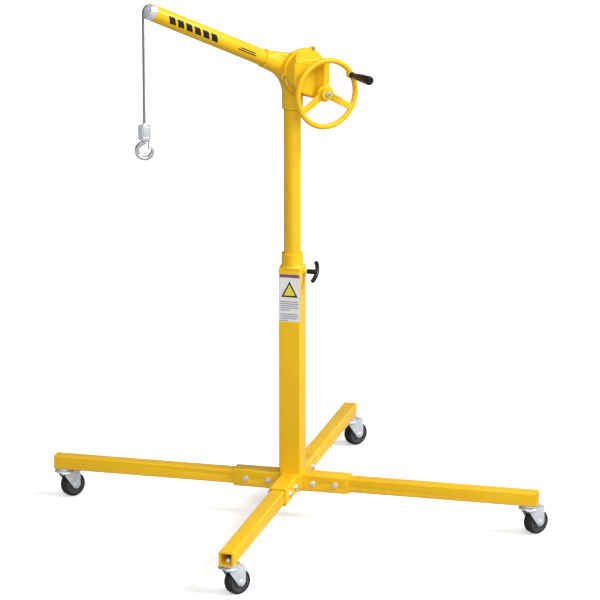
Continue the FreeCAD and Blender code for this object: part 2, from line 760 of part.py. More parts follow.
def make_cover():
    foot_y = parting_y - flange_thickness
    raised = case_prism(bell_radius - 1, pinion_case_radius - 1, cover_face_y, parting_y - 1)
    raised = raised.common(cover_frustum(0, parting_y - 1, cover_face_y))
    raised = fillet_where(raised, 6.0, lambda c, e: abs(c.y - cover_face_y) < 0.01)
    flange = flange_plate(foot_y, parting_y)
    boss = along_y(shaft_radius + bush_wall + 4, cover_face_y - 4, cover_face_y + 16, pinion_x, pinion_z)
    body = joined([raised, flange, boss])
    inside_y = cover_face_y + cover_wall
    hollow = case_prism(bell_radius - bell_wall, pinion_case_radius - bell_wall, inside_y, parting_y + 1)
    hollow = hollow.common(cover_frustum(cover_wall, parting_y + 1, inside_y))
    axle_boss = along_y(drum_axle_radius + 6, cover_face_y + 1, inside_y + 12, drum_x, drum_z)
    bush_boss = along_y(shaft_radius + bush_wall + 4, cover_face_y + 1, inside_y + 9, pinion_x, pinion_z)
    hollow = hollow.cut(axle_boss).cut(bush_boss)
    body = body.cut(hollow)
    pawl_pin = along_y(pawl_pin_radius, cover_face_y + 1, ratchet_y + 2, pawl_pivot_x, pawl_pivot_z)
    pin_shoulder = along_y(pawl_pin_radius + 3, cover_face_y + 1, ratchet_y - pawl_thickness - 1.5,
                           pawl_pivot_x, pawl_pivot_z)
    body = joined([body, pawl_pin, pin_shoulder])
    body = body.cut(along_y(shaft_radius + bush_wall, cover_face_y - 9, cover_face_y + 30, pinion_x, pinion_z))
    body = body.cut(along_y(drum_axle_radius, cover_face_y + cover_wall, cover_face_y + 30, drum_x, drum_z))
    for x, z in ear_places():
        body = body.cut(along_y(cover_screw_radius, foot_y - 1, parting_y + 1, x, z))
    return body


def make_cover_screws():
    screws = []
    head_y = parting_y - flange_thickness
    for x, z in ear_places():
        shank = along_y(cover_screw_radius, head_y, head_y + cover_screw_length, x, z)
        head = along_y(cover_screw_head_radius, head_y - cover_screw_head_height, head_y, x, z)
        socket = along_y(cover_screw_radius * 0.8, head_y - cover_screw_head_height - 1, head_y - 1, x, z)
        screws.append(joined([shank, head]).cut(socket))
    return Part.makeCompound(screws)


# ---------------------------------------------------------------- boom and tip
def make_boom():
    outer = Part.makeCylinder(boom_radius, boom_length, on_boom(boom_root), boom_dir)
    bore = Part.makeCylinder(boom_radius - boom_wall, boom_length + 2, on_boom(boom_root - 1), boom_dir)
    return outer.cut(bore)


def boom_profile_prism(points, half_width):
    """A plate from points given along the boom and up from its axis."""
    corners = [on_boom(a, o) for a, o in points]
    return outline_prism([(c.x, c.z) for c in corners], -half_width, half_width)


def make_tip():
    spigot_radius = boom_radius - boom_wall - tip_spigot_gap
    cap = Part.makeCylinder(boom_radius, tip_length, on_boom(boom_end), boom_dir)
    spigot_start = on_boom(boom_end - tip_spigot_length)
    spigot = Part.makeCylinder(spigot_radius, tip_spigot_length + 1, spigot_start, boom_dir)
    body = joined([cap, spigot])
    r = tip_front_radius
    nose = []
    for turn in (70, 55, 40, 25, 10, 0):
        a = math.radians(turn)
        nose.append((sheave_along + r * math.cos(a), -sheave_drop + r * math.sin(a)))
    keep = [(boom_end - tip_spigot_length - 2, -60), (boom_end - tip_spigot_length - 2, 60), (boom_end + 6, 60),
            (boom_end + 6, boom_radius - 0.5)] + nose + [(tip_end + 2, -sheave_drop), (tip_end + 2, -60)]
    body = body.common(boom_profile_prism(keep, boom_radius * 2))
    slot_back = sheave_along - sheave_flange_radius - 3
    slot = boom_profile_prism([(slot_back, -60), (slot_back, 60), (tip_end + 20, 60), (tip_end + 20, -60)],
                              tip_slot_width / 2)
    way_start = boom_end - tip_spigot_length - 1
    way = Part.makeCylinder(spigot_radius - 4, tip_length + tip_spigot_length, on_boom(way_start), boom_dir)
    way = way.common(boom_profile_prism([(0, -60), (0, 60), (slot_back + 2, 60), (slot_back + 2, -60)], 60))
    over_axis = [(0, 0), (0, 60), (slot_back + 1, 60), (slot_back + 1, 0)]
    top_way = boom_profile_prism(over_axis, rope_radius + rope_way_gap)
    top_way = top_way.common(Part.makeCylinder(spigot_radius + 0.05, tip_end + 20, on_boom(0), boom_dir))
    seat = pin_end_y() - pin_seat_depth
    pin_hole = along_y(sheave_pin_radius, -60, 60, sheave_centre.x, sheave_centre.z)
    seat_radius = sheave_pin_radius + pin_head_step + rope_groove_gap
    head_seat = along_y(seat_radius, -60, -seat, sheave_centre.x, sheave_centre.z)
    clip_seat = along_y(seat_radius, seat, 60, sheave_centre.x, sheave_centre.z)
    return body.cut(joined([slot, way, top_way])).cut(pin_hole).cut(head_seat).cut(clip_seat)


def pin_end_y():
    """Half the tip's width at the height of the sheave's pin."""
    return math.sqrt(boom_radius ** 2 - sheave_drop ** 2)


def make_sheave_pin():
    outer = pin_end_y() - pin_seat_depth
    clip_end = outer + pin_clip_thickness
    pin = along_y(sheave_pin_radius, -outer, clip_end, sheave_centre.x, sheave_centre.z)
    head = along_y(sheave_pin_radius + pin_head_step, -outer - pin_head_height, -outer,
                   sheave_centre.x, sheave_centre.z)
    head = fillet_where(head, 1.2, lambda c, e: c.y < -outer - pin_head_height + 0.01)
    clip = along_y(sheave_pin_radius + pin_clip_step, outer, clip_end, sheave_centre.x, sheave_centre.z)
    return joined([pin, head, clip])


def make_sheave():
    half = sheave_width / 2
    wheel = along_y(sheave_flange_radius, -half, half, sheave_centre.x, sheave_centre.z)
    groove = Part.makeTorus(sheave_pitch_radius, rope_radius + rope_groove_gap, sheave_centre, V(0, 1, 0))
    mouth = along_y(sheave_flange_radius + 5, -rope_radius - rope_groove_gap, rope_radius + rope_groove_gap,
                    sheave_centre.x, sheave_centre.z)
    mouth = mouth.cut(along_y(sheave_pitch_radius, -half, half, sheave_centre.x, sheave_centre.z))
    bore = along_y(sheave_pin_radius + sheave_bore_gap, -half - 1, half + 1, sheave_centre.x, sheave_centre.z)
    wheel = wheel.cut(groove).cut(mouth).cut(bore)
    for i in range(sheave_holes):
        turn = 2 * math.pi * (i + 0.5) / sheave_holes
        x = sheave_centre.x + sheave_hole_circle * math.cos(turn)
        z = sheave_centre.z + sheave_hole_circle * math.sin(turn)
        wheel = wheel.cut(along_y(sheave_hole_radius, -half - 1, half + 1, x, z))
    return wheel


# ---------------------------------------------------------------- rope
def tube_along(edges, radius):
    path = Part.Wire(edges)
    first = edges[0]
    start = first.valueAt(first.FirstParameter)
    tangent = first.tangentAt(first.FirstParameter)
    ring = Part.Wire([Part.makeCircle(radius, start, tangent)])
    return path.makePipeShell([ring], True, False)


def rope_line():
    """Where the rope leaves the drum and meets the sheave, and its slope between them."""
    drum = V(drum_x, 0, drum_z)
    span = sheave_centre - drum
    slope = math.atan2(span.z, -span.x) + math.asin((leave_radius + sheave_pitch_radius) / span.Length)
    normal = V(math.sin(slope), 0, math.cos(slope))
    return drum - normal * leave_radius, sheave_centre + normal * sheave_pitch_radius, slope


def make_rope():
    """The rope from the drum, up the boom and over the sheave, and its free drop to the hook."""
    leave, meet, slope = rope_line()
    drop_top = V(rope_x, 0, sheave_centre.z)
    over = math.pi / 2 - slope
    half_way = (over + math.pi) / 2
    top = sheave_centre + V(math.cos(half_way), 0, math.sin(half_way)) * sheave_pitch_radius
    run = tube_along([Part.makeLine(leave, meet), Part.Arc(meet, top, drop_top).toShape()], rope_radius)
    foot = V(rope_x, 0, hook_barrel_top_z + rope_cone_height)
    drop = Part.makeCylinder(rope_radius, drop_top.z - foot.z, foot)
    return run, drop


def make_wraps():
    """Turns of rope on the drum. The second layer leaves room for the turn that runs off up the boom."""
    rings = []
    room = -drum_front_y - drum_flange_thickness - rope_radius
    turns = 2 * math.floor(room / wrap_pitch + 0.5)
    lowest = -wrap_pitch * (turns - 1) / 2
    for i in range(turns):
        centre = V(drum_x, lowest + i * wrap_pitch, drum_z)
        rings.append(Part.makeTorus(first_wrap_radius, rope_radius, centre, V(0, 1, 0)))
    for i in range(turns - 1):
        y = lowest + (i + 0.5) * wrap_pitch
        if abs(y) > rope_radius:
            rings.append(Part.makeTorus(leave_radius, rope_radius, V(drum_x, y, drum_z), V(0, 1, 0)))
    return Part.makeCompound(rings)


# ---------------------------------------------------------------- drum and gears
def make_drum():
    barrel = along_y(drum_barrel_radius, drum_front_y, drum_back_y, drum_x, drum_z)
    flange_b = along_y(drum_flange_radius, drum_back_y - drum_flange_thickness, drum_back_y, drum_x, drum_z)
    flange_f = along_y(drum_flange_radius, drum_front_y, drum_front_y + drum_flange_thickness, drum_x, drum_z)
    seat = along_y(drum_seat_radius, gear_back_y, drum_front_y + 1, drum_x, drum_z)
    spigot_front = gear_back_y - gear_width - 3
    spigot = along_y(drum_axle_radius + drum_spigot_wall, spigot_front, gear_back_y + 1, drum_x, drum_z)
    body = joined([barrel, flange_b, flange_f, seat, spigot])
    return body.cut(along_y(drum_axle_radius + running_gap, -200, 200, drum_x, drum_z))


def make_drum_gear():
    heading = math.radians(pinion_direction)
    blank = gear_prism(gear_teeth, gear_module, gear_width, gear_back_y - gear_width, drum_x, drum_z, heading)
    body = blank.cut(along_y(drum_axle_radius + drum_spigot_wall, -200, 0, drum_x, drum_z))
    for i in range(gear_holes):
        turn = heading + 2 * math.pi * (i + 0.5) / gear_holes
        x = drum_x + gear_hole_circle * math.cos(turn)
        z = drum_z + gear_hole_circle * math.sin(turn)
        body = body.cut(along_y(gear_hole_radius, -200, 0, x, z))
    return body


def make_drum_axle():
    low = cover_face_y + cover_wall + 1
    return along_y(drum_axle_radius, low, housing_back_y, drum_x, drum_z)


def make_pinion_shaft():
    heading = math.radians(pinion_direction) + math.pi + math.pi / pinion_teeth
    front = gear_back_y - gear_width - (pinion_width - gear_width) / 2
    teeth = gear_prism(pinion_teeth, gear_module, pinion_width, front, pinion_x, pinion_z, heading)
    shaft = along_y(shaft_radius, wheel_boss_front_y, bell_back_y + 10, pinion_x, pinion_z)
    stud_front = wheel_boss_front_y - hub_nut_height - 2
    stud = along_y(hub_stud_radius, stud_front, wheel_boss_front_y, pinion_x, pinion_z)
    return joined([teeth, shaft, stud])


def make_bushes():
    bushes = []
    back_bush = (bell_back_y - bell_back_wall, bell_back_y + 12)
    front_bush = (cover_face_y - 4, cover_face_y + cover_wall + 9)
    for low, high in (back_bush, front_bush):
        outer = along_y(shaft_radius + bush_wall, low, high, pinion_x, pinion_z)
        bushes.append(outer.cut(along_y(shaft_radius + running_gap, low - 1, high + 1, pinion_x, pinion_z)))
    return Part.makeCompound(bushes)


def ratchet_points():
    points = []
    for i in range(ratchet_teeth):
        low = 2 * math.pi * i / ratchet_teeth
        high = 2 * math.pi * (i + 0.92) / ratchet_teeth
        for radius, angle in ((ratchet_radius - ratchet_step, low), (ratchet_radius, high)):
            points.append((pinion_x + radius * math.cos(angle), pinion_z + radius * math.sin(angle)))
    return points


def make_ratchet():
    wheel = outline_prism(ratchet_points(), ratchet_y, ratchet_y - ratchet_thickness)
    return wheel.cut(along_y(shaft_radius + running_gap, -300, 0, pinion_x, pinion_z))


def make_brake_discs():
    discs = []
    for y in (ratchet_y + 0.5, ratchet_y - ratchet_thickness - brake_disc_thickness - 0.5):
        disc = along_y(ratchet_radius - 4.5, y, y + brake_disc_thickness, pinion_x, pinion_z)
        discs.append(disc.cut(along_y(shaft_radius, -300, 0, pinion_x, pinion_z)))
    return Part.makeCompound(discs)


def make_pawl():
    """A lever from its pivot to the root of a ratchet tooth, and the pivot pin in the cover."""
    tip_turn = 2 * math.pi * 3 / ratchet_teeth + 0.10
    tip_x = pinion_x + (ratchet_radius - ratchet_step + 1.6) * math.cos(tip_turn)
    tip_z = pinion_z + (ratchet_radius - ratchet_step + 1.6) * math.sin(tip_turn)
    y_from = ratchet_y - 1
    y_to = y_from - pawl_thickness
    lever = two_circle_prism(pawl_pivot_x, pawl_pivot_z, 6.5, tip_x + 4 * math.cos(tip_turn),
                             tip_z + 4 * math.sin(tip_turn), 2.6, y_to, y_from)
    keep_out = along_y(ratchet_radius + 0.6, y_to - 1, y_from + 1, pinion_x, pinion_z)
    corners = [(tip_x, tip_z)]
    for reach, lean in ((6, 0.9), (7, -0.3)):
        corners.append((tip_x + reach * math.cos(tip_turn + lean), tip_z + reach * math.sin(tip_turn + lean)))
    nose = outline_prism(corners, y_to, y_from)
    wheel = outline_prism(ratchet_points(), y_to - 1, y_from + 1)
    pawl = joined([lever.cut(keep_out), nose.cut(wheel)])
    pawl = pawl.cut(along_y(pawl_pin_radius + running_gap, -300, 0, pawl_pivot_x, pawl_pivot_z))
    return pawl


# ---------------------------------------------------------------- handwheel
def make_handwheel():
    rim = Part.makeTorus(wheel_rim_radius, wheel_rim_section, V(pinion_x, wheel_plane_y, pinion_z), V(0, 1, 0))
    hub = along_y(wheel_hub_radius, wheel_hub_shoulder_y, wheel_hub_back_y, pinion_x, pinion_z)
    boss = along_y(wheel_boss_radius, wheel_boss_front_y, wheel_hub_shoulder_y + 1, pinion_x, pinion_z)
    hub = fillet_where(hub, 3.0, lambda c, e: abs(c.y - wheel_hub_shoulder_y) < 0.01)
    boss = fillet_where(boss, 3.0, lambda c, e: abs(c.y - wheel_boss_front_y) < 0.01)
    pieces = [rim, hub, boss]
    for angle in spoke_angles:
        pieces.append(make_spoke(angle))
    turn = math.radians(grip_angle)
    grip_x = pinion_x + grip_orbit * math.cos(turn)
    grip_z = pinion_z + grip_orbit * math.sin(turn)
    back = wheel_plane_y + wheel_rim_section
    pieces.append(along_y(grip_boss_radius, back - grip_boss_length - 8, back, grip_x, grip_z))
    body = joined(pieces)
    body = body.cut(along_y(shaft_radius, wheel_boss_front_y, 0, pinion_x, pinion_z))
    body = body.cut(along_y(hub_stud_radius, -400, 0, pinion_x, pinion_z))
    return body.cut(along_y(grip_spindle_radius, -400, 0, grip_x, grip_z))


def make_spoke(angle):
    """A tapered arm with rounded long edges, from the hub out to the rim."""
    near = wheel_boss_radius - spoke_root_depth
    far = wheel_rim_radius - 2
    y_near = wheel_hub_shoulder_y + 4
    wires = []
    for reach, width, y in ((near, spoke_width_hub, y_near), (far, spoke_width_rim, wheel_plane_y)):
        half = width / 2
        low = y - spoke_thickness / 2
        high = y + spoke_thickness / 2
        ring = [V(reach, low, -half), V(reach, high, -half), V(reach, high, half), V(reach, low, half)]
        ring.append(ring[0])
        wires.append(Part.makePolygon(ring))
    arm = Part.makeLoft(wires, True, True)
    long_edges = [e for e in arm.Edges if abs(e.tangentAt(e.FirstParameter).x) > 0.9]
    arm = arm.makeFillet(4.0, long_edges)
    arm.rotate(V(0, 0, 0), V(0, 1, 0), -angle)
    arm.translate(V(pinion_x, 0, pinion_z))
    return arm


def make_hub_nut():
    base = V(pinion_x, wheel_boss_front_y, pinion_z)
    return hex_nut(hub_nut_across_flats, hub_stud_radius, hub_nut_height, base, V(0, -1, 0))


def make_grip():
    turn = math.radians(grip_angle)
    x = pinion_x + grip_orbit * math.cos(turn)
    z = pinion_z + grip_orbit * math.sin(turn)
    boss_front = wheel_plane_y + wheel_rim_section - grip_boss_length - 8
    grip_back = boss_front - grip_gap
    grip_front = grip_back - grip_length
    spindle = along_y(grip_spindle_radius, grip_front + 8, wheel_plane_y + wheel_rim_section, x, z)
    boss_back = wheel_plane_y + wheel_rim_section
    nut = along_y(grip_spindle_radius + 4, boss_back, boss_back + 6, x, z)
    stop = along_y(grip_spindle_radius + 3, grip_front + 8, grip_front + 11, x, z)
    spindle = joined([spindle, nut, stop])
    body = Part.makeCone(grip_inner_radius, grip_outer_radius, grip_length - 12, V(x, grip_back, z), V(0, -1, 0))
    cap = along_y(grip_outer_radius + 1.0, grip_front, grip_back - grip_length + 12, x, z)
    cap = fillet_where(cap, 4.0, lambda c, e: abs(c.y - grip_front) < 0.01)
    grip = joined([body, cap])
    grip = grip.cut(along_y(grip_spindle_radius + running_gap, grip_front + 11, 0, x, z))
    grip = grip.cut(along_y(grip_spindle_radius + 3.5, grip_front + 7.5, grip_front + 11.5, x, z))
    return spindle, grip


# ---------------------------------------------------------------- hook
def make_barrel():
    foot = hook_barrel_top_z - hook_barrel_height
    body = Part.makeCylinder(hook_barrel_radius, hook_barrel_height, V(rope_x, 0, foot))
    body = body.makeChamfer(1.5, [e for e in body.Edges if abs(e.CenterOfMass.z - hook_barrel_top_z) < 0.01])
    body = body.makeChamfer(3.5, [e for e in body.Edges if abs(e.CenterOfMass.z - foot) < 0.01])
    cone = Part.makeCone(9.0, rope_radius + 1.5, rope_cone_height, V(rope_x, 0, hook_barrel_top_z))
    body = joined([body, cone])
    groove = Part.makeTorus(hook_barrel_radius + 0.8, 1.6, V(rope_x, 0, foot + 13))
    shank_hole = Part.makeCylinder(hook_shank_radius + hook_shank_gap, 30, V(rope_x, 0, foot - 1))
    head_room = Part.makeCylinder(hook_shank_radius + 5, 8, V(rope_x, 0, foot + hook_shank_length - 3))
    return body.cut(groove).cut(shank_hole).cut(head_room)


def hook_spot(u, z):
    """A point of the hook's own plane: u is sideways from the shank's axis."""
    turn = math.radians(hook_turn)
    return V(rope_x + u * math.cos(turn), u * math.sin(turn), z)


def hook_arc_spot(radius, angle):
    a = math.radians(angle)
    return hook_spot(radius * math.cos(a), hook_bowl_z + radius * math.sin(a))


def tapered_bar(arc, radius_from, radius_to):
    """A round bar along one arc, whose radius changes from end to end."""
    rings = []
    for at, radius in ((arc.FirstParameter, radius_from), (arc.LastParameter, radius_to)):
        rings.append(Part.Wire([Part.makeCircle(radius, arc.valueAt(at), arc.tangentAt(at))]))
    return Part.Wire([arc]).makePipeShell(rings, True, False)


def make_hook():
    r = hook_bowl_radius
    lean = math.radians(hook_lean)
    foot = hook_foot_z
    bend = hook_neck_bend
    neck = hook_spot(0, foot)
    middle = hook_spot(-bend * (1 - math.cos(lean / 2)), foot - bend * math.sin(lean / 2))
    bent = hook_spot(-bend * (1 - math.cos(lean)), foot - bend * math.sin(lean))
    meet = hook_arc_spot(r, 180 - hook_lean)
    bowl = Part.Arc(meet, hook_arc_spot(r, 220), hook_arc_spot(r, hook_taper_start))
    nose = Part.Arc(hook_arc_spot(r, hook_taper_start), hook_arc_spot(r, (hook_taper_start + hook_end) / 2),
                    hook_arc_spot(r, hook_end)).toShape()
    edges = [Part.Arc(neck, middle, bent).toShape(), Part.makeLine(bent, meet), bowl.toShape()]
    bar = tube_along(edges, hook_stock_radius)
    point = tapered_bar(nose, hook_stock_radius, hook_tip_radius)
    tip = Part.makeSphere(hook_tip_radius, hook_arc_spot(r, hook_end))
    shank = Part.makeCylinder(hook_shank_radius, hook_shank_length + 1, V(rope_x, 0, foot - 1))
    head = Part.makeCylinder(hook_shank_radius + 4, 6, V(rope_x, 0, foot + hook_shank_length - 2))
    return joined([bar, point, tip, shank, head])


def make_latch():
    """A leaf from its pivot beside the hook's neck down to the inside of the tip."""
    turn = math.radians(hook_turn)
    side = V(-math.sin(turn), math.cos(turn), 0)
    top = hook_spot(latch_pivot_reach, hook_foot_z - latch_pivot_drop)
    low = hook_spot(latch_foot_reach, hook_bowl_z + latch_foot_rise)
    half = side * (latch_width / 2)
    across = (hook_spot(1, 0) - hook_spot(0, 0)) * (latch_thickness / 2)
    ring = [top - half - across, low - half - across, low - half + across, top - half + across]
    ring.append(ring[0])
    leaf = Part.Face(Part.makePolygon(ring)).extrude(side * latch_width)
    roll = Part.makeCylinder(latch_thickness * 0.8, latch_width, top - half, side)
    return joined([leaf, roll])


# ---------------------------------------------------------------- build all
parts["column_tube"] = make_column()
parts["column_cap"] = make_cap()
parts["post_sleeve"] = make_sleeve()
parts["post_cup"] = make_post_cup()
parts["leg_sockets"] = Part.makeCompound([make_socket(a) for a in leg_angles.values()])
for leg_name, leg_angle in leg_angles.items():
    parts["leg_" + leg_name] = make_leg(leg_angle)
parts["leg_bolts"], parts["leg_nuts"] = make_leg_bolts()

stems = [make_caster_stem(name) for name in leg_angles]
parts["caster_stem_bolts"] = Part.makeCompound([s[0] for s in stems])
parts["caster_stem_nuts"] = Part.makeCompound([s[1] for s in stems])
parts["caster_raceways"] = Part.makeCompound([s[2] for s in stems])
fork_shape = make_fork()
core_shape, tyre_shape = make_wheel()
axle_shape = make_axle()
for leg_name in leg_angles:
    spot = caster_place(leg_name)
    for part_name, shape in (("fork", fork_shape), ("wheel_core", core_shape),
                             ("tyre", tyre_shape), ("axle", axle_shape)):
        placed = moved(turned_z(shape, caster_trail_angle), spot.x, spot.y)
        parts["caster_" + part_name + "_" + leg_name] = placed

parts["clamp_pad"], parts["clamp_boss"], parts["clamp_screw"], parts["tee_handle"] = make_clamp()
parts["post_tube"] = make_post()
parts["head_casting"] = make_casting()
parts["housing_cover"] = make_cover()
parts["cover_screws"] = make_cover_screws()
parts["boom_tube"] = make_boom()
parts["boom_tip"] = make_tip()
parts["sheave_pin"] = make_sheave_pin()
parts["sheave"] = make_sheave()
parts["rope_run"], parts["rope_drop"] = make_rope()
parts["rope_wraps"] = make_wraps()
parts["rope_drum"] = make_drum()
parts["drum_gear"] = make_drum_gear()
parts["drum_axle"] = make_drum_axle()
parts["pinion_shaft"] = make_pinion_shaft()
parts["shaft_bushes"] = make_bushes()
parts["ratchet_wheel"] = make_ratchet()
parts["brake_discs"] = make_brake_discs()
parts["pawl"] = make_pawl()
parts["handwheel"] = make_handwheel()
parts["hub_nut"] = make_hub_nut()
parts["grip_spindle"], parts["hand_grip"] = make_grip()
parts["swivel_barrel"] = make_barrel()
parts["hook"] = make_hook()
parts["hook_latch"] = make_latch()

os.makedirs("parts", exist_ok=True)
for node, shape in parts.items():
    solids = shape.Solids
    if not solids or not shape.isValid():
        raise ValueError(node + " is not a valid solid")
    shape.exportStep("parts/" + node + ".step")
    print(node, len(solids), "solid", round(sum(s.Volume for s in solids)))
print(len(parts), "nodes")
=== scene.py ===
import json
import math

import bmesh
import bpy
from bpy.props import FloatProperty, FloatVectorProperty, IntProperty, PointerProperty
from mathutils import Matrix, Vector
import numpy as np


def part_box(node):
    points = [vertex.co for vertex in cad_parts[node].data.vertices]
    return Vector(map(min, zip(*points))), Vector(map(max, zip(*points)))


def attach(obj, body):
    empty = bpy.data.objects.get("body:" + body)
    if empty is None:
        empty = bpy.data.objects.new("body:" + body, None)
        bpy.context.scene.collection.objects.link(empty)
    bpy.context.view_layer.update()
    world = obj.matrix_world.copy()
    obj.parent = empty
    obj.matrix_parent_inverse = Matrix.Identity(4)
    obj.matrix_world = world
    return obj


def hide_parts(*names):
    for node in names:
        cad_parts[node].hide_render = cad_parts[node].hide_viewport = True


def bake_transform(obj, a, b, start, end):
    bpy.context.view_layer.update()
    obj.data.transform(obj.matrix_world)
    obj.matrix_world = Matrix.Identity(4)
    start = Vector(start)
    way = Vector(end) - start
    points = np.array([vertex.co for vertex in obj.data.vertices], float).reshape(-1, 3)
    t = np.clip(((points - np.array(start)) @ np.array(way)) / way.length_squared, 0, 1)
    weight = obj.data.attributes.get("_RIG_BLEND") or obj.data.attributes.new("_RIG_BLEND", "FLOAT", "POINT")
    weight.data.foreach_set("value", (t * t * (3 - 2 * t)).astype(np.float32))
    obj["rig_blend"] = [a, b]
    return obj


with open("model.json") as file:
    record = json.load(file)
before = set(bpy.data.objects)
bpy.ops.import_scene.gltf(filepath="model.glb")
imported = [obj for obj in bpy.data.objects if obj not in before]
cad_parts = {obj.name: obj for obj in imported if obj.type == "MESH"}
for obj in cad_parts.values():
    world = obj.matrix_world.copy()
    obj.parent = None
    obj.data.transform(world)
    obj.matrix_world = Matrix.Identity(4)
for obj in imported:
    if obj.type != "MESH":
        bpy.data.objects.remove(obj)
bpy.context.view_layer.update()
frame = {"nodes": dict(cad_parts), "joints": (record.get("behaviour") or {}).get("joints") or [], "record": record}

bl_info = {
    "name": "Hoist Crane Finishing",
    "version": (1, 0, 0),
    "blender": (4, 5, 0),
    "location": "3D View > Sidebar > Hoist",
    "description": "Paint, castings, wire rope, casters and labels of a portable hoist crane",
    "category": "Object",
}

JOINTS = {joint["name"]: joint for joint in frame["joints"]}
COUPLINGS = {pair["joint"]: pair["ratio"] for pair in frame["record"]["behaviour"]["couplings"]}
LEGS = ("front", "right", "back", "left")
UP = Vector((0.0, 0.0, 1.0))
WELD_DISTANCE = 0.00002
SHARP_ANGLE = math.radians(32)
FLAT_ANGLE = math.radians(0.6)
FASTENER_EDGE = 0.0004


# ------------------------------------------------------------------ places taken from the frame
def joint_point(name):
    """The point that a joint turns about."""
    return Vector(JOINTS[name]["pos_m"])


def box_middle(node):
    """The middle of a node's box."""
    low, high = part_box(node)
    return (low + high) / 2


DRUM = joint_point("drum_turn")
SHEAVE = joint_point("sheave_turn")
ROPE_RADIUS = (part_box("rope_drop")[1].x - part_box("rope_drop")[0].x) / 2
ROPE_X = box_middle("rope_drop").x
LEAVE_RADIUS = COUPLINGS["hook_lift"]
COLUMN_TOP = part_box("column_cap")[0].z
FRONT = Vector((-math.sqrt(0.5), -math.sqrt(0.5), 0.0))
RIGHT = Vector((math.sqrt(0.5), -math.sqrt(0.5), 0.0))


# ------------------------------------------------------------------ nodes written as sums
class Wire:
    """A socket that Python arithmetic works on: each operator adds a Math node."""

    def __init__(self, bench, socket):
        self.bench = bench
        self.socket = socket

    def sum(self, operation, first, second=0.0):
        return self.bench.add("ShaderNodeMath", {"operation": operation}, {0: first, 1: second})

    def __add__(self, other):
        return self.sum("ADD", self, other)

    def __sub__(self, other):
        return self.sum("SUBTRACT", self, other)

    def __rsub__(self, other):
        return self.sum("SUBTRACT", other, self)

    def __mul__(self, other):
        return self.sum("MULTIPLY", self, other)

    def __truediv__(self, other):
        return self.sum("DIVIDE", self, other)

    def __rtruediv__(self, other):
        return self.sum("DIVIDE", other, self)

    def above(self, limit):
        return self.sum("GREATER_THAN", self, limit)

    def wave(self):
        return self.sum("SINE", self)

    def kept(self):
        """The value held between 0 and 1."""
        return self.bench.add("ShaderNodeClamp", {}, {0: self})

    __radd__ = __add__
    __rmul__ = __mul__


class Bench:
    """A node tree, and the one way that nodes are added to it."""

    def __init__(self, tree):
        self.tree = tree

    def add(self, kind, settings=None, sockets=None, output=0):
        """A node of that type: settings first, a ramp's stops among them, then its sockets."""
        node = self.tree.nodes.new(kind)
        for name, value in (settings or {}).items():
            if name == "stops":
                self.set_stops(node.color_ramp, value)
            else:
                setattr(node, name, value)
        for key, value in (sockets or {}).items():
            self.feed(node.inputs[key], value)
        return Wire(self, node.outputs[output])

    def set_stops(self, ramp, stops):
        while len(ramp.elements) < len(stops):
            ramp.elements.new(0.5)
        for element, (position, grey) in zip(ramp.elements, stops):
            element.position = position
            element.color = (grey, grey, grey, 1.0)

    def feed(self, socket, value):
        if isinstance(value, Wire):
            self.tree.links.new(value.socket, socket)
        else:
            socket.default_value = value


# ------------------------------------------------------------------ finishes
class Finish:
    """A material in the making: textures on object coordinates and one principled shader."""

    def __init__(self, name, **fixed):
        self.material = bpy.data.materials.new(name)
        self.material.use_nodes = True
        self.bench = Bench(self.material.node_tree)
        self.shader = self.material.node_tree.nodes["Principled BSDF"]
        self.where = self.bench.add("ShaderNodeTexCoord", output="Object")
        for socket, value in fixed.items():
            self.set(socket, value)

    def set(self, socket, value):
        name = socket.replace("_", " ").title().replace("Ior", "IOR")
        if not isinstance(value, Wire) and hasattr(value, "__len__") and len(value) == 3:
            value = (*value, 1.0)
        self.bench.feed(self.shader.inputs[name], value)

    def noise(self, scale, detail=2.0, roughness=0.5, stretch=(1.0, 1.0, 1.0)):
        spot = self.bench.add("ShaderNodeMapping", {}, {"Vector": self.where, "Scale": stretch})
        return self.bench.add("ShaderNodeTexNoise", {},
                              {"Vector": spot, "Scale": scale, "Detail": detail, "Roughness": roughness})

    def cells(self, scale):
        return self.bench.add("ShaderNodeTexVoronoi", {}, {"Vector": self.where, "Scale": scale})

    def ramp(self, value, *stops):
        return self.bench.add("ShaderNodeValToRGB", {"stops": stops}, {"Fac": value})

    def mix(self, share, first, second):
        sockets = {0: share}
        for key, colour in ((6, first), (7, second)):
            sockets[key] = colour if isinstance(colour, Wire) else (*colour, 1.0)
        return self.bench.add("ShaderNodeMix", {"data_type": "RGBA"}, sockets, output=2)

    def axis(self, name):
        """One object coordinate, in metres."""
        return self.bench.add("ShaderNodeSeparateXYZ", {}, {0: self.where}, output=name)

    def bump(self, height, strength, distance):
        sockets = {"Height": height, "Strength": strength, "Distance": distance}
        self.set("normal", self.bench.add("ShaderNodeBump", {}, sockets))


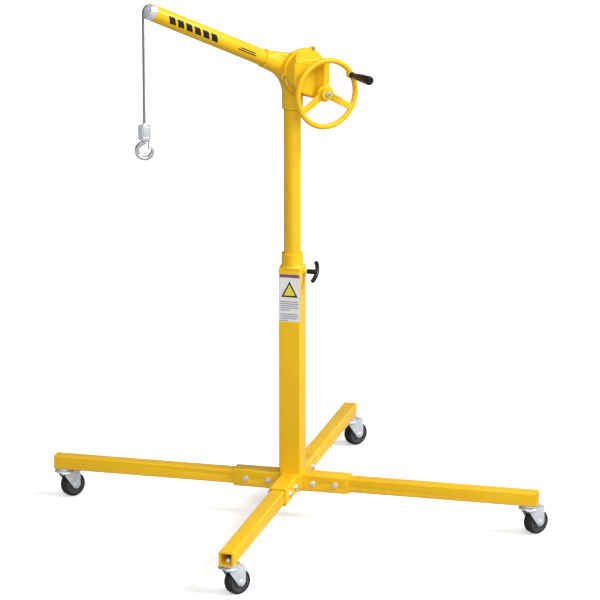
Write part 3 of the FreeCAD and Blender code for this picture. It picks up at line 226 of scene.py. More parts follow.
def yellow_paint(name, grain, roughness):
    """Powder coat: a fine orange peel, slow shifts of tone, dull rubs, and dust low down."""
    paint = bpy.context.scene.hoist_paint
    coat = Finish(name, metallic=0.0, coat_roughness=0.12, specular_ior_level=0.24)
    slow = coat.noise(7.0, 3.0)
    rubs = coat.ramp(coat.noise(60.0, 5.0, 0.7, (1.0, 1.0, 0.35)), (0.62, 0.0), (0.78, 1.0))
    low = (1.0 - coat.axis("Z") * 7.0).kept()
    dust = (low * coat.noise(22.0, 5.0, 0.65) * 0.55).kept()
    tone = coat.mix(coat.ramp(slow, (0.3, 0.0), (0.7, 1.0)), paint.colour, paint.deep_colour)
    tone = coat.mix(rubs * 0.12, tone, paint.rub_colour)
    coat.set("base_color", coat.mix(dust, tone, paint.dust_colour))
    coat.set("roughness", rubs * 0.12 + dust * 0.3 + roughness + slow * 0.06)
    coat.set("coat_weight", 0.09 - dust * 0.08)
    coat.bump(coat.noise(grain, 2.0, 0.45) + coat.noise(grain / 9, 1.0) * 0.6, 0.09, 0.0004)
    return coat.material


def metal(name, colour, dull_colour, roughness, grain, stretch=(1.0, 1.0, 1.0), metallic=0.95):
    """Bare or plated metal: cloudy tone, fine scratches or grain, and uneven gloss."""
    plate = Finish(name)
    cloud = plate.noise(38.0, 4.0, 0.6)
    fine = plate.noise(grain, 3.0, 0.6, stretch)
    plate.set("base_color", plate.mix(plate.ramp(cloud, (0.35, 0.0), (0.68, 1.0)), colour, dull_colour))
    plate.set("metallic", metallic - cloud * 0.08)
    plate.set("roughness", fine * 0.14 + cloud * 0.1 + roughness)
    plate.bump(fine, 0.2, 0.0002)
    return plate.material


def rubber(name, colour, dusty_colour):
    """Moulded rubber: matt, faintly dusty, with a fine moulding grain."""
    tyre = Finish(name, metallic=0.0, specular_ior_level=0.25)
    dust = tyre.ramp(tyre.noise(45.0, 5.0, 0.65), (0.42, 0.0), (0.72, 1.0))
    grain = tyre.noise(1500.0, 2.0)
    tyre.set("base_color", tyre.mix(dust * 0.6, colour, dusty_colour))
    tyre.set("roughness", dust * 0.18 + 0.62)
    tyre.bump(grain + tyre.cells(700.0) * 0.4, 0.25, 0.0003)
    return tyre.material


def plastic(name, colour, worn_colour, roughness):
    """Moulded plastic: glossy with faint handling marks."""
    cast = Finish(name, metallic=0.0, coat_roughness=0.1, specular_ior_level=0.3)
    marks = cast.ramp(cast.noise(90.0, 5.0, 0.7), (0.55, 0.0), (0.8, 1.0))
    cast.set("base_color", cast.mix(marks * 0.5, colour, worn_colour))
    cast.set("roughness", marks * 0.2 + roughness)
    cast.set("coat_weight", 0.14 - marks * 0.1)
    cast.bump(cast.noise(650.0, 2.0) + cast.noise(60.0, 2.0), 0.07, 0.0004)
    return cast.material


def rope_steel(name):
    """Drawn wire whose wires run slantwise: the lighter crowns are a painted highlight and the darker bands
    between wires are painted shade.
    """
    wire = Finish(name, specular_ior_level=0.6)
    # Slantwise wire stripes: ridges in the bump, and painted highlight on the crowns and painted shade between the
    # wires in the colour.
    wire_ridges_and_painted_shade = (wire.axis("Z") * 2600.0 + wire.axis("X") * 1500.0 + wire.axis("Y") * 1500.0).wave()
    grease = wire.noise(160.0, 4.0, 0.6)
    # The dark mix is partly real grease, from the cloudy noise, and partly painted shade between the wires, from
    # the slantwise stripes.
    share = (wire_ridges_and_painted_shade * 0.25 + grease * 0.8).kept()
    wire.set("base_color", wire.mix(share, (0.44, 0.45, 0.42), (0.07, 0.075, 0.065)))
    wire.set("metallic", 0.6 - share * 0.3)
    wire.set("roughness", grease * 0.25 + 0.3)
    wire.bump(wire_ridges_and_painted_shade, 0.35, 0.0002)
    return wire.material


def ink(name, colour, roughness=0.38):
    """A printed film: even colour with faint speckle."""
    film = Finish(name, metallic=0.0, specular_ior_level=0.25)
    speckle = film.noise(800.0, 3.0)
    worn = tuple(channel * 0.86 + 0.02 for channel in colour)
    film.set("base_color", film.mix(speckle, colour, worn))
    film.set("roughness", speckle * 0.1 + roughness)
    film.bump(film.noise(220.0, 2.0), 0.05, 0.0002)
    return film.material


def make_finishes():
    """Every finish, by the name of its slot in the record, and the printed films."""
    made = {
        "yellow_paint": yellow_paint("yellow powder coat", 900.0, 0.34),
        "cast_paint": yellow_paint("yellow coat on castings", 420.0, 0.36),
        "zinc_steel": metal("zinc plate", (0.86, 0.91, 0.96), (0.70, 0.74, 0.80), 0.28, 500.0, metallic=0.72),
        "machined_steel": metal("machined steel", (0.60, 0.60, 0.60), (0.44, 0.43, 0.42), 0.22, 900.0,
                                (1.0, 0.08, 1.0)),
        "cast_aluminium": metal("cast aluminium", (0.88, 0.89, 0.92), (0.74, 0.76, 0.80), 0.34, 700.0,
                                metallic=0.7),
        "rubber_tyre": rubber("tyre rubber", (0.016, 0.016, 0.018), (0.055, 0.055, 0.055)),
        "wheel_core_grey": plastic("wheel core nylon", (0.06, 0.065, 0.07), (0.12, 0.12, 0.12), 0.4),
        "black_plastic": plastic("black phenolic", (0.004, 0.004, 0.005), (0.012, 0.012, 0.012), 0.3),
        "bronze_bush": metal("sintered bronze", (0.62, 0.40, 0.17), (0.42, 0.26, 0.11), 0.3, 1300.0),
        "friction_lining": rubber("brake lining", (0.14, 0.10, 0.07), (0.26, 0.22, 0.18)),
        "wire_rope": rope_steel("galvanised wire"),
        "forged_hook": metal("bright forged steel", (0.86, 0.87, 0.89), (0.66, 0.67, 0.70), 0.13, 240.0),
        "white_film": ink("label white", (0.86, 0.86, 0.83)),
        "maroon_film": ink("label maroon", (0.26, 0.10, 0.12)),
        "yellow_film": ink("label yellow", (0.86, 0.74, 0.07)),
        "grey_film": ink("label grey", (0.24, 0.28, 0.40)),
        "dark_film": ink("stripe black", (0.004, 0.004, 0.005), 0.4),
    }
    return made


FINISHES = {}


# ------------------------------------------------------------------ mesh work
def new_piece(name, mesh, finish, body):
    """A piece that rides on a body, with one finish unless its mesh already has its own."""
    piece = bpy.data.objects.new(name, mesh)
    bpy.context.scene.collection.objects.link(piece)
    if finish:
        mesh.materials.clear()
        mesh.materials.append(FINISHES[finish])
    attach(piece, body)
    return piece


def body_of(node):
    """The body that a node belongs to."""
    for body, members in frame["record"]["behaviour"]["bodies"].items():
        if node in members:
            return body
    raise ValueError(node + " is in no body")


def settled(source):
    """A plain mesh of an object as its modifiers leave it."""
    graph = bpy.context.evaluated_depsgraph_get()
    return bpy.data.meshes.new_from_object(source.evaluated_get(graph))


def soften(mesh, angle=SHARP_ANGLE):
    """Smooth shading that keeps the true corners crisp."""
    mesh.shade_smooth()
    mesh.set_sharp_from_angle(angle=angle)


def merged_copy(node):
    """A node's mesh with its loose triangles joined up, as an object to work on."""
    mesh = frame["nodes"][node].data.copy()
    work = bmesh.new()
    work.from_mesh(mesh)
    bmesh.ops.remove_doubles(work, verts=work.verts, dist=WELD_DISTANCE)
    bmesh.ops.dissolve_limit(work, angle_limit=FLAT_ANGLE, verts=work.verts, edges=work.edges)
    work.to_mesh(mesh)
    work.free()
    for layer in [a.name for a in mesh.attributes if a.name == "custom_normal"]:
        mesh.attributes.remove(mesh.attributes[layer])
    shape = bpy.data.objects.new(node + ".work", mesh)
    bpy.context.scene.collection.objects.link(shape)
    return shape


def stand_in(node, shape, finish):
    """Turns a worked shape into the piece that stands for a node."""
    mesh = settled(shape)
    bpy.data.objects.remove(shape)
    soften(mesh)
    piece = new_piece(node + ".finished", mesh, finish, body_of(node))
    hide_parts(node)
    return piece


def machined(node, finish, edge):
    """A cut or pressed piece: the node's own shape with its corners broken by a small bevel."""
    shape = merged_copy(node)
    bevel = shape.modifiers.new("broken edges", "BEVEL")
    bevel.width = edge
    bevel.segments = 2
    bevel.limit_method = "ANGLE"
    bevel.angle_limit = SHARP_ANGLE
    bevel.use_clamp_overlap = True
    return stand_in(node, shape, finish)


def cast(node, finish, grain, rounds, slot=None):
    """A cast or forged piece: every inner corner runs together, as it does out of a mould."""
    shape = merged_copy(node)
    skin = shape.modifiers.new("mould skin", "REMESH")
    skin.mode = "VOXEL"
    skin.voxel_size = grain
    smooth = shape.modifiers.new("mould radius", "SMOOTH")
    smooth.factor = 0.5
    smooth.iterations = rounds
    return stand_in(node, shape, finish)


def turned(outline, centre, axis, steps=72, closed=False):
    """A lathe-turned mesh. Outline holds (radius, distance along the axis) pairs."""
    across = axis.orthogonal().normalized()
    beside = axis.cross(across)
    work = bmesh.new()
    rings = []
    for radius, along in outline:
        middle = centre + axis * along
        if radius < WELD_DISTANCE:
            rings.append([work.verts.new(middle)])
            continue
        ring = []
        for step in range(steps):
            turn = 2 * math.pi * step / steps
            ring.append(work.verts.new(middle + (across * math.cos(turn) + beside * math.sin(turn)) * radius))
        rings.append(ring)
    pairs = list(zip(rings, rings[1:]))
    if closed:
        pairs.append((rings[-1], rings[0]))
    for first, second in pairs:
        for step in range(steps):
            following = (step + 1) % steps
            corners = [first[step % len(first)], first[following % len(first)],
                       second[following % len(second)], second[step % len(second)]]
            work.faces.new(list(dict.fromkeys(corners)))
    bmesh.ops.recalc_face_normals(work, faces=work.faces)
    mesh = bpy.data.meshes.new("turned")
    work.to_mesh(mesh)
    work.free()
    soften(mesh)
    return mesh


def rounded_outline(corners, radius, steps=5):
    """A turned outline whose given corners, all but the first and last, are rounded."""
    points = [Vector(corner) for corner in corners]
    outline = [points[0]]
    for before, corner, after in zip(points, points[1:], points[2:]):
        reach = min(radius, (before - corner).length * 0.48, (after - corner).length * 0.48)
        start = corner + (before - corner).normalized() * reach
        end = corner + (after - corner).normalized() * reach
        for step in range(steps + 1):
            share = step / steps
            outline.append(start.lerp(corner, share).lerp(corner.lerp(end, share), share))
    outline.append(points[-1])
    return [(point.x, point.y) for point in outline]


def path_object(name, splines, cyclic):
    """A curve object that holds straight-run paths."""
    curve = bpy.data.curves.new(name, "CURVE")
    curve.dimensions = "3D"
    for points in splines:
        spline = curve.splines.new("POLY")
        spline.points.add(len(points) - 1)
        for target, point in zip(spline.points, points):
            target.co = (*point, 1.0)
        spline.use_cyclic_u = cyclic
    path = bpy.data.objects.new(name, curve)
    bpy.context.scene.collection.objects.link(path)
    return path


# ------------------------------------------------------------------ geometry node trees
def new_tree(name, inputs):
    """A geometry tree with named inputs, its bench and its group input node's sockets."""
    tree = bpy.data.node_groups.new(name, "GeometryNodeTree")
    tree.interface.new_socket("Geometry", in_out="INPUT", socket_type="NodeSocketGeometry")
    tree.interface.new_socket("Geometry", in_out="OUTPUT", socket_type="NodeSocketGeometry")
    for label, kind in inputs:
        tree.interface.new_socket(label, in_out="INPUT", socket_type="NodeSocket" + kind)
    bench = Bench(tree)
    entry = tree.nodes.new("NodeGroupInput")
    return tree, bench, {socket.name: Wire(bench, socket) for socket in entry.outputs if socket.name}


def close_tree(bench, shape, material):
    """Ends a tree: instances made real, and the finish set."""
    real = bench.add("GeometryNodeRealizeInstances", {}, {0: shape})
    smooth = bench.add("GeometryNodeSetShadeSmooth", {}, {0: real})
    done = bench.add("GeometryNodeSetMaterial", {}, {"Geometry": smooth, "Material": material})
    exit_node = bench.tree.nodes.new("NodeGroupOutput")
    bench.feed(exit_node.inputs[0], done)


def run_tree(shape, tree, values):
    """The plain mesh that a tree makes of a shape, whose object is then removed."""
    modifier = shape.modifiers.new(tree.name, "NODES")
    modifier.node_group = tree
    for item in tree.interface.items_tree:
        if item.in_out == "INPUT" and item.name in values:
            modifier[item.identifier] = values[item.name]
    mesh = settled(shape)
    bpy.data.objects.remove(shape)
    return mesh


def strand_tree():
    """Strands laid round a core along a path, at a steady lay."""
    inputs = (("Rope radius", "Float"), ("Strands", "Int"), ("Lay length", "Float"), ("Finish", "Material"))
    tree, bench, given = new_tree("stranded rope", inputs)
    strand = given["Rope radius"] / 3.0
    step = given["Lay length"] / 22.0
    fine = bench.add("GeometryNodeResampleCurve", {"mode": "LENGTH"},
                     {"Curve": given["Geometry"], "Length": step})
    travel = bench.add("GeometryNodeSplineParameter", output="Length")
    turned_path = bench.add("GeometryNodeSetCurveTilt", {},
                            {"Curve": fine, "Tilt": travel / given["Lay length"] * (2 * math.pi)})
    spots = bench.add("GeometryNodeMeshCircle", {}, {"Vertices": given["Strands"], "Radius": strand * 2.0})
    ring = bench.add("GeometryNodeCurvePrimitiveCircle", {}, {"Resolution": 10, "Radius": strand})
    rings = bench.add("GeometryNodeInstanceOnPoints", {}, {"Points": spots, "Instance": ring})
    section = bench.add("GeometryNodeJoinGeometry", {}, {0: rings})
    bench.tree.links.new(ring.socket, section.socket.node.inputs[0])
    solid = bench.add("GeometryNodeRealizeInstances", {}, {0: section})
    sweep = bench.add("GeometryNodeCurveToMesh", {},
                      {"Curve": turned_path, "Profile Curve": solid, "Fill Caps": True})
    close_tree(bench, sweep, given["Finish"])
    return tree


def bead_tree():
    """A weld bead: overlapping ripples of metal laid along a path."""
    inputs = (("Bead width", "Float"), ("Ripple pitch", "Float"), ("Seed", "Int"), ("Finish", "Material"))
    tree, bench, given = new_tree("weld bead", inputs)
    fine = bench.add("GeometryNodeResampleCurve", {"mode": "LENGTH"},
                     {"Curve": given["Geometry"], "Length": given["Ripple pitch"]})
    heading = bench.add("GeometryNodeInputTangent")
    facing = bench.add("FunctionNodeAlignRotationToVector", {"axis": "Z"}, {"Vector": heading})
    drop = bench.add("GeometryNodeMeshUVSphere", {},
                     {"Segments": 9, "Rings": 6, "Radius": given["Bead width"] / 2.0})
    size = bench.add("FunctionNodeRandomValue", {"data_type": "FLOAT"},
                     {2: 0.82, 3: 1.12, "Seed": given["Seed"]}, output=1)
    drops = bench.add("GeometryNodeInstanceOnPoints", {},
                      {"Points": fine, "Instance": drop, "Rotation": facing, "Scale": size})
    close_tree(bench, drops, given["Finish"])
    return tree


# ------------------------------------------------------------------ settings
class HoistPaintSettings(bpy.types.PropertyGroup):
    colour: FloatVectorProperty(name="Coat", description="Colour of the powder coat", subtype="COLOR",
                                min=0.0, max=1.0, default=(0.89, 0.545, 0.012))
    deep_colour: FloatVectorProperty(name="Deep coat", description="Colour where the coat lies thicker",
                                     subtype="COLOR", min=0.0, max=1.0, default=(0.87, 0.50, 0.008))
    rub_colour: FloatVectorProperty(name="Rubs", description="Colour of dull rub marks", subtype="COLOR",
                                    min=0.0, max=1.0, default=(0.70, 0.47, 0.08))
    dust_colour: FloatVectorProperty(name="Dust", description="Colour of workshop dust on the legs",
                                     subtype="COLOR", min=0.0, max=1.0, default=(0.42, 0.34, 0.20))
    edge: FloatProperty(name="Broken edge", description="Bevel on cut and pressed edges", unit="LENGTH",
                        min=0.0, default=0.0005)
    mould_grain: FloatProperty(name="Mould grain", description="Cell size that castings are skinned with",
                               unit="LENGTH", min=0.0005, default=0.0021)


class HoistRopeSettings(bpy.types.PropertyGroup):
    strands: IntProperty(name="Strands", description="Strands laid round the core", min=3, default=6)
    lay: FloatProperty(name="Lay length", description="Length of rope for one turn of a strand",
                       unit="LENGTH", min=0.01, default=0.052)


class HoistBeadSettings(bpy.types.PropertyGroup):
    width: FloatProperty(name="Bead width", description="Width of the weld beads", unit="LENGTH",
                         min=0.001, default=0.0036)
    pitch: FloatProperty(name="Ripple pitch", description="Distance between ripples", unit="LENGTH",
                         min=0.001, default=0.0017)
    seed: IntProperty(name="Seed", description="Seed of the ripples' sizes", min=0, default=4)


class HoistLabelSettings(bpy.types.PropertyGroup):
    size: FloatVectorProperty(name="Label size", description="Width and height of the column's label",
                              size=2, unit="LENGTH", default=(0.074, 0.172))
    block_start: FloatProperty(name="Block start", description="Where the boom's blocks start, from the mast",
                               unit="LENGTH", default=0.340)
    block_row: FloatProperty(name="Block row", description="Length of the boom's row of blocks",
                             unit="LENGTH", default=0.212)
    blocks: IntProperty(name="Blocks", description="Blocks in the boom's row", min=1, default=6)


class HoistStageSettings(bpy.types.PropertyGroup):
    camera_place: FloatVectorProperty(name="Camera", description="Where the camera stands",
                                      subtype="TRANSLATION", unit="LENGTH", default=(-5.702, -9.648, 3.801))
    camera_turn: FloatProperty(name="Turn", description="The camera's heading from +Y", subtype="ANGLE",
                               default=math.radians(-30.72))
    camera_pitch: FloatProperty(name="Pitch", description="How far the camera looks down", subtype="ANGLE",
                                default=math.radians(15.01))
    focal_length: FloatProperty(name="Focal length", description="Lens in millimetres on a 36 mm sensor",
                                min=10.0, default=198.5)
    sky: FloatProperty(name="Sky", description="Strength of the light all round, brighter to the right",
                       min=0.0, default=0.32)
    sun: FloatProperty(name="Key light", description="Strength of the soft light from the right",
                       min=0.0, default=2.8)
    fill: FloatProperty(name="Fill light", description="Strength of the soft light from the front",
                        min=0.0, default=1.5)


# ------------------------------------------------------------------ stage
def make_camera(stage):
    """The camera, as the stage's settings place it."""
    lens = bpy.data.cameras.new("camera")
    lens.lens = stage.focal_length
    lens.sensor_width = 36.0
    lens.clip_end = 200.0
    camera = bpy.data.objects.new("camera", lens)
    camera.location = stage.camera_place
    camera.rotation_euler = (math.pi / 2 - stage.camera_pitch, 0.0, stage.camera_turn)
    bpy.context.scene.collection.objects.link(camera)
    bpy.context.scene.camera = camera


def make_light(name, strength, heading, height, softness):
    """A distant soft light that comes from a heading and a height above the horizon, in degrees."""
    lamp = bpy.data.lights.new(name, "SUN")
    lamp.energy = strength
    lamp.angle = math.radians(softness)
    light = bpy.data.objects.new(name, lamp)
    light.rotation_euler = (math.radians(90 - height), 0.0, math.radians(heading))
    bpy.context.scene.collection.objects.link(light)


def make_floor(size=80.0):
    """A pale floor that the camera sees nearly white and that throws back less light."""
    work = bmesh.new()
    bmesh.ops.create_grid(work, x_segments=1, y_segments=1, size=size / 2)
    mesh = bpy.data.meshes.new("floor")
    work.to_mesh(mesh)
    work.free()
    floor = bpy.data.objects.new("floor", mesh)
    matt = Finish("studio floor", metallic=0.0, roughness=0.9, specular_ior_level=0.1,
                  emission_color=(1.0, 1.0, 1.0))
    seen = matt.bench.add("ShaderNodeLightPath")
    bright = matt.mix(matt.noise(3.0, 3.0), (0.88, 0.88, 0.88), (0.91, 0.91, 0.91))
    matt.set("base_color", matt.mix(seen, (0.42, 0.42, 0.42), bright))
    matt.set("emission_strength", seen * 0.42)
    mesh.materials.append(matt.material)
    bpy.context.scene.collection.objects.link(floor)


def make_backdrop(stage):
    """A pale world that is darker towards the camera's left."""
    world = bpy.data.worlds.new("studio")
    world.use_nodes = True
    bench = Bench(world.node_tree)
    facing = bench.add("ShaderNodeTexCoord", output="Generated")
    to_right = (math.cos(stage.camera_turn), math.sin(stage.camera_turn), 0.0)
    side = bench.add("ShaderNodeVectorMath", {"operation": "DOT_PRODUCT"}, {0: facing, 1: to_right},
                     output="Value")
    backdrop = world.node_tree.nodes["Background"]
    backdrop.inputs["Color"].default_value = (1.0, 1.0, 1.0, 1.0)
    bench.feed(backdrop.inputs["Strength"], (side * 0.6 + 1.0) * stage.sky)
    bpy.context.scene.world = world


class HOIST_OT_stage(bpy.types.Operator):
    """Set the camera, the pale floor and the soft lights"""
    bl_idname = "hoist.stage"
    bl_label = "Stage"

    def execute(self, context):
        stage = context.scene.hoist_stage
        make_camera(stage)
        make_floor()
        make_light("key light", stage.sun, heading=42.0, height=40.0, softness=26.0)
        make_light("fill light", stage.fill, heading=-30.0, height=32.0, softness=45.0)
        make_backdrop(stage)
        context.scene.view_settings.view_transform = "Standard"
        return {"FINISHED"}


# ------------------------------------------------------------------ rope
def rope_mesh(path):
    """A stranded rope along a path."""
    rope = bpy.context.scene.hoist_rope
    values = {"Rope radius": ROPE_RADIUS, "Strands": rope.strands, "Lay length": rope.lay,
              "Finish": FINISHES["wire_rope"]}
    return run_tree(path, bpy.data.node_groups.get("stranded rope") or strand_tree(), values)


def make_rope_drop():
    """The free drop of rope, pulled straight by the hook block."""
    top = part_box("rope_drop")[1].z
    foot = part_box("rope_drop")[0].z
    straight = ROPE_RADIUS * 12
    curve = bpy.data.curves.new("rope line", "CURVE")
    curve.dimensions = "3D"
    spline = curve.splines.new("NURBS")
    heights = (top, top - straight, foot + straight, foot)
    spline.points.add(len(heights) - 1)
    for target, height in zip(spline.points, heights):
        target.co = (ROPE_X, 0.0, height, 1.0)
    spline.order_u = 3
    spline.use_endpoint_u = True
    spline.resolution_u = 24
    line = bpy.data.objects.new("rope line", curve)
    bpy.context.scene.collection.objects.link(line)
    route = [tuple(vertex.co) for vertex in settled(line).vertices]
    mesh = rope_mesh(line)
    rope = bpy.data.objects.new("rope_drop.stranded", mesh)
    bpy.context.scene.collection.objects.link(rope)
    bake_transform(rope, "mast_head", "hook_block", start=(ROPE_X, 0.0, top), end=(ROPE_X, 0.0, foot))
    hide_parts("rope_drop")


def make_rope_run():
    """The held rope: off the drum, up inside the boom and over the sheave."""
    pitch = SHEAVE.x - ROPE_X
    span = SHEAVE - DRUM
    slope = math.atan2(span.z, -span.x) + math.asin((LEAVE_RADIUS + pitch) / span.length)
    normal = Vector((math.sin(slope), 0.0, math.cos(slope)))
    points = [DRUM - normal * LEAVE_RADIUS]
    steps = 14
    first = math.pi / 2 - slope
    for step in range(steps + 1):
        turn = first + (math.pi - first) * step / steps
        points.append(SHEAVE + Vector((math.cos(turn), 0.0, math.sin(turn))) * pitch)
    path = path_object("held rope", [points], False)
    piece = new_piece("rope_run.stranded", rope_mesh(path), "wire_rope", "mast_head")
    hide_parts("rope_run")


class HOIST_OT_rope(bpy.types.Operator):
    """Lay the stranded rope: its free drop and the run over the sheave"""
    bl_idname = "hoist.rope"
    bl_label = "Wire rope"

    def execute(self, context):
        make_rope_drop()
        make_rope_run()
        return {"FINISHED"}


# ------------------------------------------------------------------ welded base and tubes
class HOIST_OT_base_frame(bpy.types.Operator):
    """Finish the welded column, its sleeve, the leg sockets and the legs"""
    bl_idname = "hoist.base_frame"
    bl_label = "Base frame"

    def execute(self, context):
        edge = context.scene.hoist_paint.edge
        for node in ("column_tube", "column_cap", "post_sleeve", "leg_sockets", "clamp_boss"):
            machined(node, "yellow_paint", edge)
        for leg in LEGS:
            machined("leg_" + leg, "yellow_paint", edge)
        return {"FINISHED"}


class HOIST_OT_mast_and_boom(bpy.types.Operator):
    """Finish the mast's post, the boom's tube and the cast tip"""
    bl_idname = "hoist.mast_and_boom"
    bl_label = "Mast and boom"

    def execute(self, context):
        edge = context.scene.hoist_paint.edge
        for node in ("post_tube", "boom_tube"):
            machined(node, "yellow_paint", edge)
        machined("boom_tip", "cast_aluminium", edge * 2)
        machined("sheave_pin", "zinc_steel", edge)
        machined("sheave", "machined_steel", edge)
        return {"FINISHED"}


def ring_path(centre, axis, radius, steps=64):
    """A circle of points about an axis."""
    across = axis.orthogonal().normalized()
    beside = axis.cross(across)
    points = []
    for step in range(steps):
        turn = 2 * math.pi * step / steps
        points.append(centre + (across * math.cos(turn) + beside * math.sin(turn)) * radius)
    return points


def square_path(centre, across, beside, half, corner, steps=5):
    """A rounded square in the plane of two directions."""
    points = []
    for quarter in range(4):
        for step in range(steps + 1):
            turn = math.pi / 2 * (quarter + step / steps)
            lean = math.pi / 4 + math.pi / 2 * quarter
            x = math.copysign(half - corner, math.cos(lean)) + corner * math.cos(turn)
            y = math.copysign(half - corner, math.sin(lean)) + corner * math.sin(turn)
            points.append(centre + across * x + beside * y)
    return points


class HOIST_OT_weld_beads(bpy.types.Operator):
    """Lay weld beads round the sleeve, the clamp boss and the leg sockets"""
    bl_idname = "hoist.weld_beads"
    bl_label = "Weld beads"

    def execute(self, context):
        bead = context.scene.hoist_beads
        column_half = column_face()
        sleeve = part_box("post_sleeve")
        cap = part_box("column_cap")
        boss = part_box("clamp_boss")
        sleeve_weld = (sleeve[1].x - sleeve[0].x) / 2
        loops = [ring_path(Vector((0.0, 0.0, cap[1].z)), UP, sleeve_weld - bead.width * 0.3)]
        loops.append(ring_path(RIGHT * column_half + UP * (boss[0].z + boss[1].z) / 2, RIGHT,
                               (boss[1].z - boss[0].z) / 2 * 0.93))
        leg_axis = box_middle("leg_sockets").z
        socket_half = (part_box("leg_sockets")[1].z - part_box("leg_sockets")[0].z) / 2
        for outward, beside in ((FRONT, RIGHT), (RIGHT, FRONT), (-FRONT, RIGHT), (-RIGHT, FRONT)):
            loops.append(square_path(outward * column_half + UP * leg_axis, beside, UP, socket_half, 0.007))
        path = path_object("bead lines", loops, True)
        values = {"Bead width": bead.width, "Ripple pitch": bead.pitch, "Seed": bead.seed,
                  "Finish": FINISHES["yellow_paint"]}
        new_piece("weld_beads", run_tree(path, bead_tree(), values), "yellow_paint", "base")
        return {"FINISHED"}


def column_face():
    """From the mast's axis to the flat face of the column, which stands turned an eighth of a turn."""
    node = frame["nodes"]["column_tube"]
    return max(vertex.co.dot(FRONT) for vertex in node.data.vertices)


# ------------------------------------------------------------------ castings and the handwheel
class HOIST_OT_castings(bpy.types.Operator):
    """Finish the elbow casting, its cover and the cast handwheel"""
    bl_idname = "hoist.castings"
    bl_label = "Castings"

    def execute(self, context):
        grain = context.scene.hoist_paint.mould_grain
        cast("head_casting", "cast_paint", grain, 7, "yellow_paint")
        cast("housing_cover", "cast_paint", grain * 0.75, 5, "yellow_paint")
        cast("handwheel", "cast_paint", grain * 0.6, 8, "yellow_paint")
        machined("cover_screws", "machined_steel", FASTENER_EDGE)
        machined("hub_nut", "zinc_steel", FASTENER_EDGE)
        machined("grip_spindle", "zinc_steel", FASTENER_EDGE)
        return {"FINISHED"}


class HOIST_OT_hand_grip(bpy.types.Operator):
    """Turn the handwheel's tapered grip, with a collar and a ring near its end"""
    bl_idname = "hoist.hand_grip"
    bl_label = "Hand grip"

    def execute(self, context):
        low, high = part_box("hand_grip")
        spot = joint_point("grip_spin")
        away = Vector((0.0, -1.0, 0.0))
        base = Vector((spot.x, high.y, spot.z))
        length = high.y - low.y
        widest = (high.x - low.x) / 2
        spindle = (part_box("grip_spindle")[1].y, 0.0051)
        pocket = (0.0086, length - 0.0117, length - 0.0073)
        bore = [(0.0, pocket[2]), (pocket[0], pocket[2]), (pocket[0], pocket[1]), (spindle[1], pocket[1]),
                (spindle[1], 0.0)]
        collar = widest * 0.72
        waist = widest * 0.56
        outer = [(collar, 0.0), (collar, 0.006), (waist, 0.010)]
        for step in range(1, 12):
            share = step / 12
            swell = waist + (widest * 0.93 - waist) * math.sin(share * math.pi / 2)
            outer.append((swell, 0.010 + (length - 0.034) * share))
        ring = length - 0.019
        outer += [(widest * 0.94, ring - 0.003), (widest * 0.84, ring - 0.0015),
                  (widest * 0.84, ring + 0.0015), (widest, ring + 0.003),
                  (widest, length - 0.007), (widest * 0.86, length - 0.0016),
                  (widest * 0.45, length), (widest * 0.36, length - 0.0012), (0.0, length - 0.0012)]
        mesh = turned(bore + rounded_outline([bore[-1]] + outer, 0.0016)[1:], base, away)
        piece = new_piece("hand_grip.turned", mesh, "black_plastic", "grip")
        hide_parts("hand_grip")
        return {"FINISHED"}


# ------------------------------------------------------------------ clamp
class HOIST_OT_mast_clamp(bpy.types.Operator):
    """Finish the mast clamp: its screw and the moulded T-handle"""
    bl_idname = "hoist.mast_clamp"
    bl_label = "Mast clamp"

    def execute(self, context):
        cast("tee_handle", "black_plastic", 0.0009, 5)
        machined("clamp_screw", "zinc_steel", FASTENER_EDGE)
        return {"FINISHED"}


# ------------------------------------------------------------------ casters
def make_tyre(leg):
    """A moulded tyre: crowned tread, rounded shoulders and a raised ring on each side."""
    low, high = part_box("caster_tyre_" + leg)
    hub = joint_point("caster_roll_" + leg)
    axle = Vector(JOINTS["caster_roll_" + leg]["axis"])
    half = max((vertex.co - hub).dot(axle) for vertex in frame["nodes"]["caster_tyre_" + leg].data.vertices)
    outer = (high.z - low.z) / 2
    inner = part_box("caster_wheel_core_" + leg)
    seat = (inner[1].z - inner[0].z) / 2
    side = half - 0.0012
    corners = [(seat, 0.0), (seat, side), (seat + 0.0022, side), (seat + 0.0026, half),
               (seat + 0.0046, half), (seat + 0.0052, side - 0.0006), (outer - 0.0034, side - 0.0016),
               (outer - 0.0004, half * 0.60), (outer, half * 0.34), (outer, 0.0)]
    one_side = rounded_outline(corners, 0.0012, 3)
    outline = one_side + [(radius, -along) for radius, along in reversed(one_side[1:-1])]
    mesh = turned(outline, hub, axle, 96, True)
    piece = new_piece("caster_tyre_" + leg + ".moulded", mesh, "rubber_tyre", "caster_wheel_body_" + leg)
    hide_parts("caster_tyre_" + leg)


class HOIST_OT_casters(bpy.types.Operator):
    """Finish the casters: plated forks, wheel cores, moulded tyres and axles"""
    bl_idname = "hoist.casters"
    bl_label = "Casters"

    def execute(self, context):
        edge = context.scene.hoist_paint.edge
        for leg in LEGS:
            machined("caster_fork_" + leg, "zinc_steel", edge)
            machined("caster_axle_" + leg, "zinc_steel", edge)
            machined("caster_wheel_core_" + leg, "wheel_core_grey", edge)
            make_tyre(leg)
        machined("caster_raceways", "zinc_steel", edge)
        return {"FINISHED"}


class HOIST_OT_fasteners(bpy.types.Operator):
    """Finish the leg bolts, the caster stems and their nuts"""
    bl_idname = "hoist.fasteners"
    bl_label = "Fasteners"

    def execute(self, context):
        for node in ("leg_bolts", "leg_nuts", "caster_stem_bolts", "caster_stem_nuts"):
            machined(node, "zinc_steel", FASTENER_EDGE)
        return {"FINISHED"}


